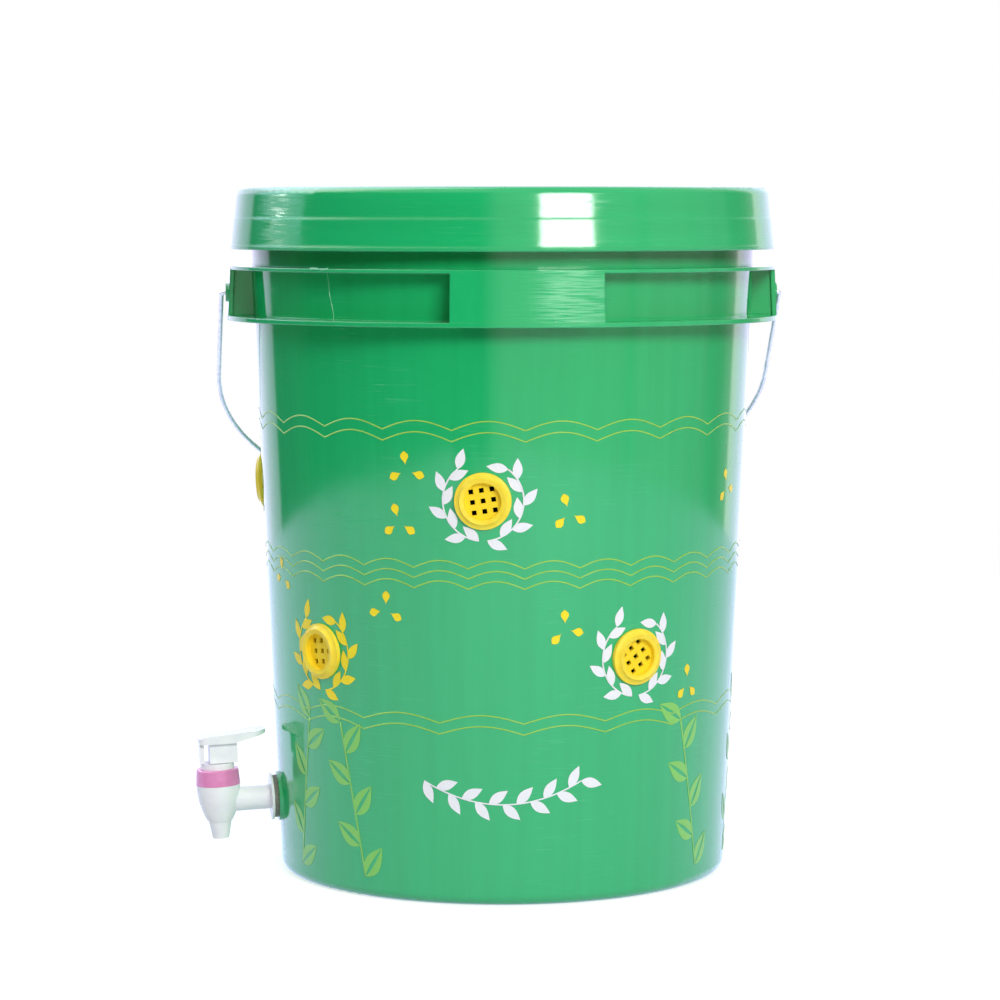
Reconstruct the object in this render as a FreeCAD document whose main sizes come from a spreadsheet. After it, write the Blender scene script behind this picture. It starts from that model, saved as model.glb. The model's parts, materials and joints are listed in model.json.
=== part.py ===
import FreeCAD, Part
import math
import operator
import os
from types import SimpleNamespace

import Sketcher
from FreeCAD import Placement, Rotation, Vector

# Driving dimensions, millimetres and degrees
SIZES = {
    # bucket shell
    "base_r": 126.7,            # outer wall carried down to the foot plane
    "wall_slope": 0.0456,       # radius gained per millimetre of height
    "wall": 2.2,
    "cut_over": 6.0,            # how far a cut runs past the faces that it opens
    "bin_height": 381.6,        # foot plane to rim top
    "foot_width": 14.0,         # foot ring, measured in from the wall
    "foot_lift": 4.0,           # underside of the floor above the foot plane
    "foot_round": 6.0,
    "floor_wall": 2.5,
    "rim_reach": 5.0,           # rim lip beyond the wall
    "rim_depth": 8.0,
    "rim_wall": 2.0,
    # carry band
    "band_drop": 38.2,          # rim top to the top of the band
    "band_height": 30.4,
    "upper_reach": 12.4,        # upper flange beyond the wall
    "lower_reach": 15.2,
    "upper_flange": 2.0,
    "lower_flange": 2.6,
    "band_skin": 2.6,           # outer wall of the closed boxes
    "band_rib": 2.2,            # rib at each end of a closed box
    "band_lip": 1.6,            # outer wall past the rib
    "box_half_angle": 15.35,    # closed boxes at front and back
    "ear_half_width": 12.0,     # closed boxes that carry the bail
    "ear_boss_r": 5.2,
    "ear_boss_proud": 0.8,      # boss beyond the lower flange
    # lid
    "lid_roof": 2.2,
    "skirt_wall": 1.8,
    "skirt_slope": 0.10,        # radius gained per millimetre downwards
    "skirt_depth": 34.2,
    "lid_gap": 0.6,             # rim lip to skirt
    "lid_round": 4.0,
    "crease_drop": 16.6,        # lid top to the crease in the skirt
    "crease_step": 0.3,
    "skirt_bead": 2.3,          # height of the bead at the skirt's edge
    "skirt_bead_proud": 0.35,
    "snap_gap": 0.4,            # snap bead inside the skirt to rim lip
    "plug_gap": 0.5,            # plug wall to the bucket's bore
    "plug_wall": 2.0,
    "plug_depth": 16.0,
    "panel_drop": 8.0,          # lid top to the recessed panel
    "stack_gap": 1.5,           # stacking ring to the foot of a bin on top
    "stack_ring": 3.0,
    "stack_rise": 3.0,
    "gasket_height": 3.2,
    "gasket_gap": 0.1,
    "gasket_inset": 0.5,        # gasket's edge in from the rim's edge
    # bail
    "wire_d": 2.6,
    "pivot_clear": 0.38,
    "bail_side_gap": 0.4,       # ear boss to the start of the bend
    "bail_bend_r": 1.9,
    "bail_splay": 1.5,          # how far the legs lean out
    "bail_depth": 191.0,        # pivot to the axis of the grip
    "bail_middle": 92.0,        # straight run that carries the grip
    "bail_head_r": 3.0,
    "bail_head": 1.5,
    "grip_length": 88.0,
    "grip_r": 7.6,
    "grip_end_r": 6.4,
    "grip_clear": 0.08,
    "grip_rest_gap": 0.3,       # grip to the wall where the bail hangs
    "grip_groove": 0.7,
    "grip_pitch": 9.0,
    # strainer
    "strainer_gap": 1.5,        # plate edge to the bucket's bore
    "strainer_clear": 7.2,      # plate above the tap nut
    "strainer_plate": 3.0,
    "strainer_rim": 7.0,
    "strainer_rim_wall": 2.0,
    "drain_r": 3.0,
    "drain_edge": 10.0,         # outer ring of holes to the plate's edge
    "drain_land": 9.3,          # inner rings of holes to the feet's sockets
    "foot_clear": 7.0,          # feet to the end of the tap's shank
    "foot_r": 7.0,
    "foot_wall": 1.6,
    "socket_depth": 8.0,
    "socket_wall": 1.6,
    "socket_clear": 0.1,
    # vents
    "vent_r": 15.3,
    "vent_proud": 3.6,
    "vent_shoulder": 1.5,       # straight edge of the flange above the wall
    "vent_dome_r": 4.2,
    "vent_dish_r": 10.0,
    "vent_dish_depth": 4.0,
    "vent_face": 2.4,           # width of the slope from dome to dish
    "vent_barrel_wall": 1.2,
    "vent_disc": 1.6,
    "vent_hole": 2.6,
    "vent_hole_pitch": 5.7,
    "vent_hole_clear": 0.15,
    "vent_seat_clear": 0.1,
    "vent_ring_width": 3.0,
    "vent_ring": 1.6,
    "vent_ring_clear": 0.1,
    "vent_lip": 0.6,
    "vent_lip_length": 0.9,
    "vent_upper_z": 220.5,
    "vent_lower_z": 134.0,
    # tap
    "tap_azimuth": -85.0,       # from the front, towards +X positive
    "tap_z": 42.6,
    "tap_reach": 34.7,          # wall to the spout's axis
    "tap_boss_r": 14.0,
    "tap_boss_proud": 1.6,
    "tap_inner_proud": 1.4,
    "tap_washer": 2.6,
    "tap_washer_r": 12.0,
    "tap_flange": 1.2,
    "tap_flange_r": 13.25,
    "tap_pipe_r": 6.9,
    "tap_pipe_bore_r": 5.2,
    "shank_r": 8.0,
    "shank_clear": 0.2,
    "shank_end": 3.0,           # shank past the nut
    "inner_washer": 2.0,
    "nut_depth": 8.0,
    "nut_flats": 24.0,
    "tap_top": 15.35,           # chamber rim above the pipe's axis
    "tap_thread_r": 10.9,
    "tap_shoulder": 2.35,       # collar's seat above the pipe
    "tap_body_r": 12.4,
    "tap_body_low_r": 7.2,
    "tap_body_curve_r": 42.0,
    "tap_step": 11.4,           # pipe's axis down to the top of the nozzle
    "nozzle_top_r": 6.6,
    "nozzle_tip_r": 4.7,
    "nozzle_length": 10.0,
    "nozzle_bore_r": 3.4,
    "chamber_r": 8.4,
    "seat_drop": 5.5,           # pipe's axis down to the valve seat
    "bonnet_spigot": 2.5,
    "bonnet_flange": 1.75,
    "bonnet_disc_r": 9.6,
    "bonnet_rise": 4.55,        # disc above the bonnet's flange
    "bonnet_clear": 0.1,
    "collar_r": 12.65,
    "collar_taper": 0.7,        # radius lost from its foot to its lip
    "collar_lip": 1.25,
    "stem_r": 2.0,
    "stem_clear": 0.1,
    "stem_foot_r": 4.6,
    "stem_foot": 1.2,
    "stem_spigot_r": 1.6,
    "stem_spigot": 1.4,
    "stem_eye_r": 2.6,
    "stem_eye": 3.2,            # flat eye at the stem's top
    "seal_r": 6.2,
    "seal_height": 2.5,
    "spring_r": 4.2,
    "spring_wire_r": 0.4,
    "spring_turns": 5,
    "spring_seat": 0.1,
    "lever_gap": 0.3,           # hub above the bonnet's disc
    "lever_pin_rise": 4.8,      # pin above the bonnet's disc
    "lever_pin_r": 1.2,
    "lever_pin_clear": 0.06,
    "hub_height": 11.3,
    "hub_width": 13.0,
    "hub_front": 4.4,
    "hub_back": 11.4,
    "post_front": 10.1,
    "post_thickness": 2.8,
    "post_inset": 0.2,          # post behind the paddle's front edge
    "stem_slot": 8.6,
    "stem_slot_clear": 0.3,
    "paddle_width": 19.0,
    "paddle_tip": 28.0,
    "paddle_tip_rise": 4.4,
    "paddle_tip_thickness": 2.0,
    "paddle_front_thickness": 2.6,
    "paddle_root_thickness": 4.7,
    "paddle_root": 10.0,
    "paddle_front_run": 8.5,    # length of the rounded front
    "paddle_front_r": 14.0,
    "paddle_tip_round": 8.0,
    "paddle_front_round": 4.0,
}

DRAIN_RINGS = 4                 # rings of drain holes, six more holes in each
DRAIN_COUNT_STEP = 6
EDGE_DRAIN_COUNT = 36
FEET = 6
GRIP_GROOVES = 7
VENT_ROW = 3                    # holes along each side of a vent's grid

# Vents: place round the bin from the front towards +X, row, turn of the grid
VENTS = {
    "vent_upper_left": (-99.4, "upper", 0.0),
    "vent_upper_front": (-9.4, "upper", 9.0),
    "vent_lower_left": (-53.3, "lower", 5.0),
    "vent_lower_right": (28.0, "lower", 35.0),
    "vent_lower_back_left": (-143.3, "lower", 20.0),
    "vent_lower_back_right": (118.0, "lower", 50.0),
}

OPERATORS = {"+": operator.add, "-": operator.sub, "*": operator.mul, "/": operator.truediv}

doc = FreeCAD.newDocument("compost_bin")


class Size:
    """A length or angle that keeps its sheet formula beside its number."""

    def __init__(self, number, formula):
        self.number = number
        self.formula = formula

    def joined(self, sign, other, swapped=False):
        left, right = (as_size(other), self) if swapped else (self, as_size(other))
        number = OPERATORS[sign](left.number, right.number)
        return Size(number, f"({left.formula} {sign} {right.formula})")

    def __add__(self, other):
        return self.joined("+", other)

    def __radd__(self, other):
        return self.joined("+", other, swapped=True)

    def __sub__(self, other):
        return self.joined("-", other)

    def __rsub__(self, other):
        return self.joined("-", other, swapped=True)

    def __mul__(self, other):
        return self.joined("*", other)

    def __rmul__(self, other):
        return self.joined("*", other, swapped=True)

    def __truediv__(self, other):
        return self.joined("/", other)

    def __neg__(self):
        return self.joined("-", 0, swapped=True)

    def __float__(self):
        return float(self.number)


def as_size(value):
    return value if isinstance(value, Size) else Size(float(value), f"({float(value)!r})")


def size_sheet():
    sheet = doc.addObject("Spreadsheet::Sheet", "Sizes")
    for row, (name, number) in enumerate(SIZES.items(), start=1):
        sheet.set(f"A{row}", name)
        sheet.set(f"B{row}", str(number))
        sheet.setAlias(f"B{row}", name)
    doc.recompute()
    return SimpleNamespace(**{name: Size(sheet.get(name), f"Sizes.{name}") for name in SIZES})


dim = size_sheet()


# Heights and radii that several pieces share

def wall_at(height):
    return dim.base_r + dim.wall_slope * height


def bore_at(height):
    return wall_at(height) - dim.wall


rim_top = dim.bin_height
rim_r = wall_at(rim_top) + dim.rim_reach
band_top = rim_top - dim.band_drop
band_low = band_top - dim.band_height
upper_r = wall_at(band_top) + dim.upper_reach
lower_r = wall_at(band_low) + dim.lower_reach
pivot_z = band_low + dim.band_height / 2
boss_face = lower_r + dim.ear_boss_proud
floor_top = dim.foot_lift + dim.floor_wall
roof_under = rim_top + dim.gasket_height
lid_top = roof_under + dim.lid_roof
wire_r = dim.wire_d / 2
slope_angle = math.degrees(math.atan(float(dim.wall_slope)))

# Tap: distances along its pipe, from the spout's axis towards the bin
tap_wall_x = -dim.tap_reach
tap_boss_x = tap_wall_x + dim.tap_boss_proud
tap_flange_back = tap_boss_x + dim.tap_washer
tap_flange_face = tap_flange_back + dim.tap_flange
tap_inner_x = tap_wall_x - dim.wall - dim.tap_inner_proud
nut_front_x = tap_inner_x - dim.inner_washer
nut_back_x = nut_front_x - dim.nut_depth
shank_end_x = nut_back_x - dim.shank_end
nut_corner_r = dim.nut_flats / math.sqrt(3)

# Tap: heights along the spout's axis, from the pipe's axis
shoulder_z = dim.tap_pipe_r + dim.tap_shoulder
seat_z = -dim.seat_drop
bonnet_under = dim.tap_top - dim.bonnet_spigot
bonnet_flange_top = dim.tap_top + dim.bonnet_flange
bonnet_top = bonnet_flange_top + dim.bonnet_rise
stem_foot_z = seat_z + dim.seal_height
spring_low_z = stem_foot_z + dim.stem_foot + dim.spring_seat + dim.spring_wire_r
spring_high_z = bonnet_under - dim.spring_seat - dim.spring_wire_r
hub_low = bonnet_top + dim.lever_gap
hub_high = hub_low + dim.hub_height
pin_z = bonnet_top + dim.lever_pin_rise

strainer_under = dim.tap_z + nut_corner_r + dim.strainer_clear
strainer_top = strainer_under + dim.strainer_plate
strainer_r = bore_at(strainer_under) - dim.strainer_gap
foot_circle = wall_at(dim.tap_z) + dim.tap_reach + shank_end_x - dim.foot_clear - dim.foot_r
socket_r = dim.foot_r + dim.socket_clear


# Tools for sketches and features

def bind(target, name, value):
    target.setExpression(name, as_size(value).formula)


def new_body(label, place=None):
    body = doc.addObject("PartDesign::Body", "Body_" + label)
    body.Label = label
    if place is not None:
        body.Placement = place
    return body


def origin_plane(body, role):
    return next(item for item in body.Origin.OriginFeatures if item.Role == role)


def new_sketch(body, name, role="XZ_Plane", lift=None):
    sketch = body.newObject("Sketcher::SketchObject", name)
    sketch.AttachmentSupport = [(origin_plane(body, role), "")]
    sketch.MapMode = "FlatFace"
    if lift is not None:
        bind(sketch, "AttachmentOffset.Base.z", lift)
    return sketch


def constrain(sketch, kind, *points, value):
    value = as_size(value)
    index = sketch.addConstraint(Sketcher.Constraint(kind, *points, value.number))
    bind(sketch, f"Constraints[{index}]", value)


def place_point(sketch, element, end, x, y):
    constrain(sketch, "DistanceX", -1, 1, element, end, value=x)
    constrain(sketch, "DistanceY", -1, 1, element, end, value=y)


def arc_between(start, end, radius):
    """Arc shorter than a half circle; a positive radius turns left from start to end."""
    chord = end - start
    left = Vector(-chord.y, chord.x, 0).normalize()
    rise = math.sqrt(radius * radius - chord.Length * chord.Length / 4)
    centre = (start + end) / 2 + left * math.copysign(rise, radius)
    first, last = (start, end) if radius > 0 else (end, start)
    angles = [math.atan2(point.y - centre.y, point.x - centre.x) for point in (first, last)]
    circle = Part.Circle(centre, Vector(0, 0, 1), abs(radius))
    return Part.ArcOfCircle(circle, angles[0], angles[1])


def outline(sketch, corners):
    """Closed outline through corners (x, y) or (x, y, signed radius of the arc to the next)."""
    points = [Vector(float(corner[0]), float(corner[1]), 0) for corner in corners]
    ends = []
    for index, corner in enumerate(corners):
        start, end = points[index], points[(index + 1) % len(points)]
        if len(corner) == 3:
            element = sketch.addGeometry(arc_between(start, end, float(corner[2])), False)
            order = (1, 2) if float(corner[2]) > 0 else (2, 1)
        else:
            element = sketch.addGeometry(Part.LineSegment(start, end), False)
            order = (1, 2)
        ends.append((element, order))
    for index, corner in enumerate(corners):
        element, order = ends[index]
        following, following_order = ends[(index + 1) % len(ends)]
        sketch.addConstraint(
            Sketcher.Constraint("Coincident", element, order[1], following, following_order[0]))
        place_point(sketch, element, order[0], corner[0], corner[1])
        if len(corner) == 3:
            radius = corner[2] if float(corner[2]) > 0 else -as_size(corner[2])
            constrain(sketch, "Radius", element, value=radius)
    return sketch


def ring_outline(sketch, x, y, radii):
    for radius in radii:
        circle = Part.Circle(Vector(float(x), float(y), 0), Vector(0, 0, 1), float(radius))
        element = sketch.addGeometry(circle, False)
        place_point(sketch, element, 3, x, y)
        constrain(sketch, "Radius", element, value=radius)
    return sketch


def revolved(body, name, corners, axis="V_Axis", role="XZ_Plane", angle=None, cut=False):
    sketch = outline(new_sketch(body, name + "Profile", role), corners)
    feature = body.newObject("PartDesign::Groove" if cut else "PartDesign::Revolution", name)
    feature.Profile = sketch
    feature.ReferenceAxis = (sketch, [axis])
    if angle is None:
        feature.Angle = 360
    else:
        feature.Midplane = True
        bind(feature, "Angle", angle)
    doc.recompute()
    return feature


def extruded(body, name, sketch, length, cut=False, midplane=False, backwards=False):
    feature = body.newObject("PartDesign::Pocket" if cut else "PartDesign::Pad", name)
    feature.Profile = sketch
    feature.Midplane = midplane
    feature.Reversed = backwards
    bind(feature, "Length", length)
    doc.recompute()
    return feature


def round_bar(body, name, radius, length, place, cut=False):
    kind = "PartDesign::SubtractiveCylinder" if cut else "PartDesign::AdditiveCylinder"
    feature = body.newObject(kind, name)
    bind(feature, "Radius", radius)
    bind(feature, "Height", length)
    feature.Placement = place
    doc.recompute()
    return feature


def round_the_axis(body, name, originals, count):
    pattern = body.newObject("PartDesign::PolarPattern", name)
    pattern.Originals = originals
    pattern.Axis = (next(item for item in body.Origin.OriginFeatures if item.Role == "Z_Axis"), [""])
    pattern.Angle = 360
    pattern.Occurrences = count
    body.Tip = pattern
    doc.recompute()
    return pattern


def ring_edges(body, r, z):
    """Names of the circular edges about Z at radius r and height z."""
    names = []
    for index, edge in enumerate(body.Tip.Shape.Edges, start=1):
        curve = edge.Curve
        if not isinstance(curve, Part.Circle):
            continue
        off_ring = abs(curve.Radius - float(r)) + abs(curve.Center.z - float(z))
        if off_ring < 0.01:
            names.append(f"Edge{index}")
    return names


def upright_edges(body, x):
    """Names of the straight edges parallel to Z at distance x along the body's own X."""
    names = []
    for index, edge in enumerate(body.Tip.Shape.Edges, start=1):
        if not isinstance(edge.Curve, Part.Line):
            continue
        first, last = [vertex.Point for vertex in edge.Vertexes]
        leaning = abs(first.x - last.x) + abs(first.y - last.y)
        if leaning + abs(first.x - float(x)) < 0.01:
            names.append(f"Edge{index}")
    return names


def rounded(body, name, edges, radius):
    base = body.Tip
    feature = body.newObject("PartDesign::Fillet", name)
    feature.Base = (base, edges)
    bind(feature, "Radius", radius)
    body.Tip = feature
    doc.recompute()
    return feature


def on_wall(azimuth, height, out=0.0, spin=0.0):
    """Frame on the wall's outer face: X out along its normal, Z up the wall."""
    turn = math.radians(float(azimuth))
    tilt = math.radians(slope_angle)
    radial = Vector(math.sin(turn), -math.cos(turn), 0)
    normal = radial * math.cos(tilt) - Vector(0, 0, math.sin(tilt))
    upward = radial * math.sin(tilt) + Vector(0, 0, math.cos(tilt))
    foot = radial * float(wall_at(height)) + Vector(0, 0, float(height))
    rotation = Rotation(normal, upward.cross(normal), upward, "XZY")
    return Placement(foot + normal * float(out), rotation * Rotation(Vector(1, 0, 0), spin))


def along_x(start, height=0):
    return Placement(Vector(float(start), 0, float(height)), Rotation(Vector(0, 1, 0), 90))


# Bucket

def add_closed_box(body, name, role, half_angle):
    """Closed box of the carry band, open below, at both ends of the plane it stands on."""
    lip_angle = dim.band_lip / lower_r * math.degrees(1)
    rib_angle = dim.band_rib / lower_r * math.degrees(1)
    hollow_top = band_top - dim.upper_flange
    hollow_low = band_low - dim.lower_flange
    skin_lean = (lower_r - upper_r) / dim.band_height
    root = dim.wall / 2
    skin = revolved(body, name + "Skin", [
        (lower_r - dim.band_skin, band_low),
        (lower_r, band_low),
        (upper_r, band_top),
        (upper_r - dim.band_skin, band_top),
    ], role=role, angle=half_angle * 2)
    block = revolved(body, name + "Block", [
        (wall_at(band_low) - root, band_low),
        (lower_r - dim.band_skin / 2, band_low),
        (upper_r - dim.band_skin / 2, band_top),
        (wall_at(band_top) - root, band_top),
    ], role=role, angle=(half_angle - lip_angle) * 2)
    round_the_axis(body, name + "Pair", [skin, block], 2)
    hollow = revolved(body, name + "Hollow", [
        (wall_at(hollow_low), hollow_low),
        (lower_r - dim.band_skin, hollow_low),
        (lower_r - dim.band_skin, band_low),
        (upper_r - dim.band_skin + skin_lean * dim.upper_flange, hollow_top),
        (wall_at(hollow_top), hollow_top),
    ], role=role, angle=(half_angle - lip_angle - rib_angle) * 2, cut=True)
    round_the_axis(body, name + "HollowPair", [hollow], 2)


def make_bucket():
    body = new_body("bucket")
    foot_in = dim.base_r - dim.foot_width
    lip_under = rim_top - dim.rim_wall
    revolved(body, "Shell", [
        (0, dim.foot_lift),
        (foot_in, dim.foot_lift),
        (foot_in, 0),
        (dim.base_r, 0),
        (wall_at(band_low), band_low),
        (lower_r, band_low),
        (lower_r, band_low + dim.lower_flange),
        (wall_at(band_low + dim.lower_flange), band_low + dim.lower_flange),
        (wall_at(band_top - dim.upper_flange), band_top - dim.upper_flange),
        (upper_r, band_top - dim.upper_flange),
        (upper_r, band_top),
        (wall_at(band_top), band_top),
        (wall_at(lip_under), lip_under),
        (rim_r - dim.rim_wall, lip_under),
        (rim_r - dim.rim_wall, rim_top - dim.rim_depth),
        (rim_r, rim_top - dim.rim_depth),
        (rim_r, rim_top),
        (bore_at(rim_top), rim_top),
        (bore_at(dim.floor_wall), dim.floor_wall),
        (foot_in + dim.floor_wall, dim.floor_wall),
        (foot_in, floor_top),
        (0, floor_top),
    ])
    rounded(body, "FootRound", ring_edges(body, dim.base_r, 0), dim.foot_round)
    gutter = ring_edges(body, bore_at(dim.floor_wall), dim.floor_wall)
    rounded(body, "GutterRound", gutter, dim.foot_round - dim.wall)
    rounded(body, "RimRound", ring_edges(body, rim_r, rim_top), dim.rim_wall / 2)
    add_closed_box(body, "Box", "YZ_Plane", dim.box_half_angle)
    add_closed_box(body, "Ear", "XZ_Plane", dim.ear_half_width / lower_r * math.degrees(1))

    ear_start = upper_r - dim.band_skin
    boss = round_bar(body, "EarBoss", dim.ear_boss_r, boss_face - ear_start, along_x(ear_start, pivot_z))
    round_the_axis(body, "EarBosses", [boss], 2)
    hole_start = ear_start - dim.cut_over
    hole_length = boss_face - hole_start + dim.cut_over
    hole = round_bar(body, "BailHole", wire_r + dim.pivot_clear, hole_length,
                     along_x(hole_start, pivot_z), cut=True)
    round_the_axis(body, "BailHoles", [hole], 2)

    at_tap = on_wall(dim.tap_azimuth, dim.tap_z)
    inner_face = -(dim.wall + dim.tap_inner_proud)
    boss_length = dim.tap_boss_proud - inner_face
    round_bar(body, "TapBoss", dim.tap_boss_r, boss_length, at_tap * along_x(inner_face))
    tap_cut = at_tap * along_x(inner_face - dim.cut_over)
    round_bar(body, "TapHole", dim.shank_r + dim.shank_clear, boss_length + dim.cut_over * 2,
              tap_cut, cut=True)
    for name, (azimuth, row, _) in VENTS.items():
        vent_cut = on_wall(azimuth, vent_height(row)) * along_x(-dim.wall - dim.cut_over)
        round_bar(body, "Hole_" + name, vent_barrel_r + dim.vent_hole_clear, dim.wall + dim.cut_over * 2,
                  vent_cut, cut=True)
    return body


# Lid

def skirt_at(height):
    """Outer radius of the skirt above its crease."""
    at_rim = rim_r + dim.lid_gap + dim.skirt_wall
    return at_rim + dim.skirt_slope * (rim_top - height)


def plug_at(height):
    return bore_at(height) - dim.plug_gap


def make_lid():
    body = new_body("lid")
    skirt_low = lid_top - dim.skirt_depth
    bead_top = skirt_low + dim.skirt_bead
    crease = lid_top - dim.crease_drop
    crease_low = crease - dim.crease_step * 2
    plug_low = lid_top - dim.plug_depth
    panel = lid_top - dim.panel_drop
    panel_under = panel - dim.lid_roof
    stack_in = dim.base_r + dim.stack_gap
    stack_out = stack_in + dim.stack_ring
    stack_top = panel + dim.stack_rise
    snap_r = rim_r + dim.snap_gap
    inner_low = skirt_at(bead_top) - dim.skirt_wall
    revolved(body, "Cover", [
        (0, panel),
        (stack_in, panel),
        (stack_in + dim.stack_ring / 4, stack_top),
        (stack_out - dim.stack_ring / 4, stack_top),
        (stack_out, panel),
        (plug_at(panel) - dim.plug_wall, panel),
        (plug_at(rim_top) - dim.plug_wall, lid_top),
        (skirt_at(lid_top), lid_top),
        (skirt_at(crease), crease),
        (skirt_at(crease_low) + dim.crease_step, crease_low),
        (skirt_at(bead_top) + dim.crease_step, bead_top),
        (skirt_at(bead_top) + dim.crease_step + dim.skirt_bead_proud, bead_top - dim.skirt_bead_proud),
        (skirt_at(bead_top) + dim.crease_step + dim.skirt_bead_proud, skirt_low),
        (inner_low, skirt_low),
        (snap_r, skirt_low + dim.skirt_bead / 2),
        (snap_r, bead_top),
        (inner_low, bead_top + dim.skirt_bead),
        (skirt_at(roof_under) - dim.skirt_wall, roof_under),
        (plug_at(rim_top), roof_under),
        (plug_at(plug_low), plug_low),
        (plug_at(plug_low) - dim.plug_wall, plug_low),
        (plug_at(panel_under) - dim.plug_wall, panel_under),
        (0, panel_under),
    ])
    top_edge = ring_edges(body, skirt_at(lid_top), lid_top)
    rounded(body, "TopRound", top_edge, dim.lid_round)
    inner_edge = ring_edges(body, plug_at(rim_top) - dim.plug_wall, lid_top)
    rounded(body, "RecessRound", inner_edge, dim.lid_round / 2)
    return body


def make_gasket():
    body = new_body("lid_gasket")
    inner = plug_at(rim_top) + dim.gasket_gap
    outer = rim_r - dim.gasket_inset
    bevel = dim.gasket_height / 4
    revolved(body, "Ring", [
        (inner, rim_top + bevel),
        (inner + bevel, rim_top),
        (outer - bevel, rim_top),
        (outer, rim_top + bevel),
        (outer, roof_under),
        (inner, roof_under),
    ])
    return body


# Bail

def bail_rest_angle():
    """Angle from straight down at which the grip lies against the wall."""
    tilt = math.radians(slope_angle)
    reach = float(dim.base_r) * math.cos(tilt) + float(pivot_z) * math.sin(tilt)
    reach += float(dim.grip_r + dim.grip_rest_gap)
    return math.degrees(math.asin(reach / float(dim.bail_depth)) - tilt)


def bail_place(drop=0.0):
    pivot = Placement(Vector(0, 0, float(pivot_z)), Rotation(Vector(1, 0, 0), bail_rest_angle()))
    return pivot * Placement(Vector(0, 0, -float(drop)), Rotation())


def make_bail_wire():
    """Half of the wire along its path, its mirrored other half and both joined."""
    half = new_body("bail_half")
    bend_x = boss_face + dim.bail_side_gap
    leg_x = bend_x + dim.bail_bend_r
    half_middle = dim.bail_middle / 2
    corner_r = leg_x + dim.bail_splay - half_middle
    corner_z = corner_r - dim.bail_depth
    head_x = upper_r - dim.band_skin * 2
    path = new_sketch(half, "WirePath")
    middle = Vector(float(half_middle), float(corner_z), 0)
    bend = Vector(float(bend_x), -float(dim.bail_bend_r), 0)
    low, right = Vector(0, -1, 0), Vector(1, 0, 0)
    pieces = [
        Part.LineSegment(Vector(float(head_x), 0, 0), Vector(float(bend_x), 0, 0)),
        Part.ArcOfCircle(Part.Circle(bend, Vector(0, 0, 1), float(dim.bail_bend_r)), 0, math.pi / 2),
        Part.LineSegment(bend + right * float(dim.bail_bend_r), middle + right * float(corner_r)),
        Part.ArcOfCircle(Part.Circle(middle, Vector(0, 0, 1), float(corner_r)), -math.pi / 2, 0),
        Part.LineSegment(middle + low * float(corner_r), Vector(0, -float(dim.bail_depth), 0)),
    ]
    pin, bend_arc, leg, corner, run = [path.addGeometry(piece, False) for piece in pieces]
    for joint in ((pin, 2, bend_arc, 2), (bend_arc, 1, leg, 1), (leg, 2, corner, 2), (corner, 1, run, 1)):
        path.addConstraint(Sketcher.Constraint("Tangent", *joint))
    path.addConstraint(Sketcher.Constraint("Horizontal", run))
    place_point(path, pin, 1, head_x, 0)
    place_point(path, pin, 2, bend_x, 0)
    constrain(path, "Radius", bend_arc, value=dim.bail_bend_r)
    place_point(path, corner, 3, half_middle, corner_z)
    constrain(path, "Radius", corner, value=corner_r)
    constrain(path, "DistanceX", -1, 1, run, 2, value=0)
    section = ring_outline(new_sketch(half, "WireSection", "YZ_Plane", head_x), 0, 0, [wire_r])
    doc.recompute()
    wire = half.newObject("PartDesign::AdditivePipe", "Wire")
    wire.Profile = section
    wire.Spine = (path, [f"Edge{index + 1}" for index in range(len(pieces))])
    doc.recompute()
    round_bar(half, "Head", dim.bail_head_r, dim.bail_head, along_x(head_x - dim.bail_head / 2))
    other_half = doc.addObject("Part::Mirroring", "OtherHalf")
    other_half.Source = half
    other_half.Normal = Vector(1, 0, 0)
    bail = doc.addObject("Part::Fuse", "Bail")
    bail.Label = "bail_wire"
    bail.Base = half
    bail.Tool = other_half
    bail.Refine = True
    bail.Placement = bail_place()
    doc.recompute()
    return bail


def make_bail_grip():
    body = new_body("bail_grip", bail_place(dim.bail_depth))
    half = dim.grip_length / 2
    bore_r = wire_r + dim.grip_clear
    bead = dim.grip_groove * 2
    swell = dim.grip_r - dim.grip_end_r
    crown_r = (half * half + swell * swell) / (swell * 2)
    revolved(body, "Sleeve", [
        (-half, bore_r),
        (half, bore_r),
        (half, dim.grip_end_r, crown_r),
        (-half, dim.grip_end_r),
    ], axis="H_Axis")
    above = dim.grip_r + dim.grip_groove
    bottom = dim.grip_end_r - dim.grip_groove / 2
    for index in range(GRIP_GROOVES):
        middle = dim.grip_pitch * (index - (GRIP_GROOVES - 1) / 2)
        revolved(body, f"Groove{index + 1}", [
            (middle - bead, above),
            (middle - bead / 4, bottom),
            (middle + bead / 4, bottom),
            (middle + bead, above),
        ], axis="H_Axis", cut=True)
    return body


# Strainer

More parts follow.
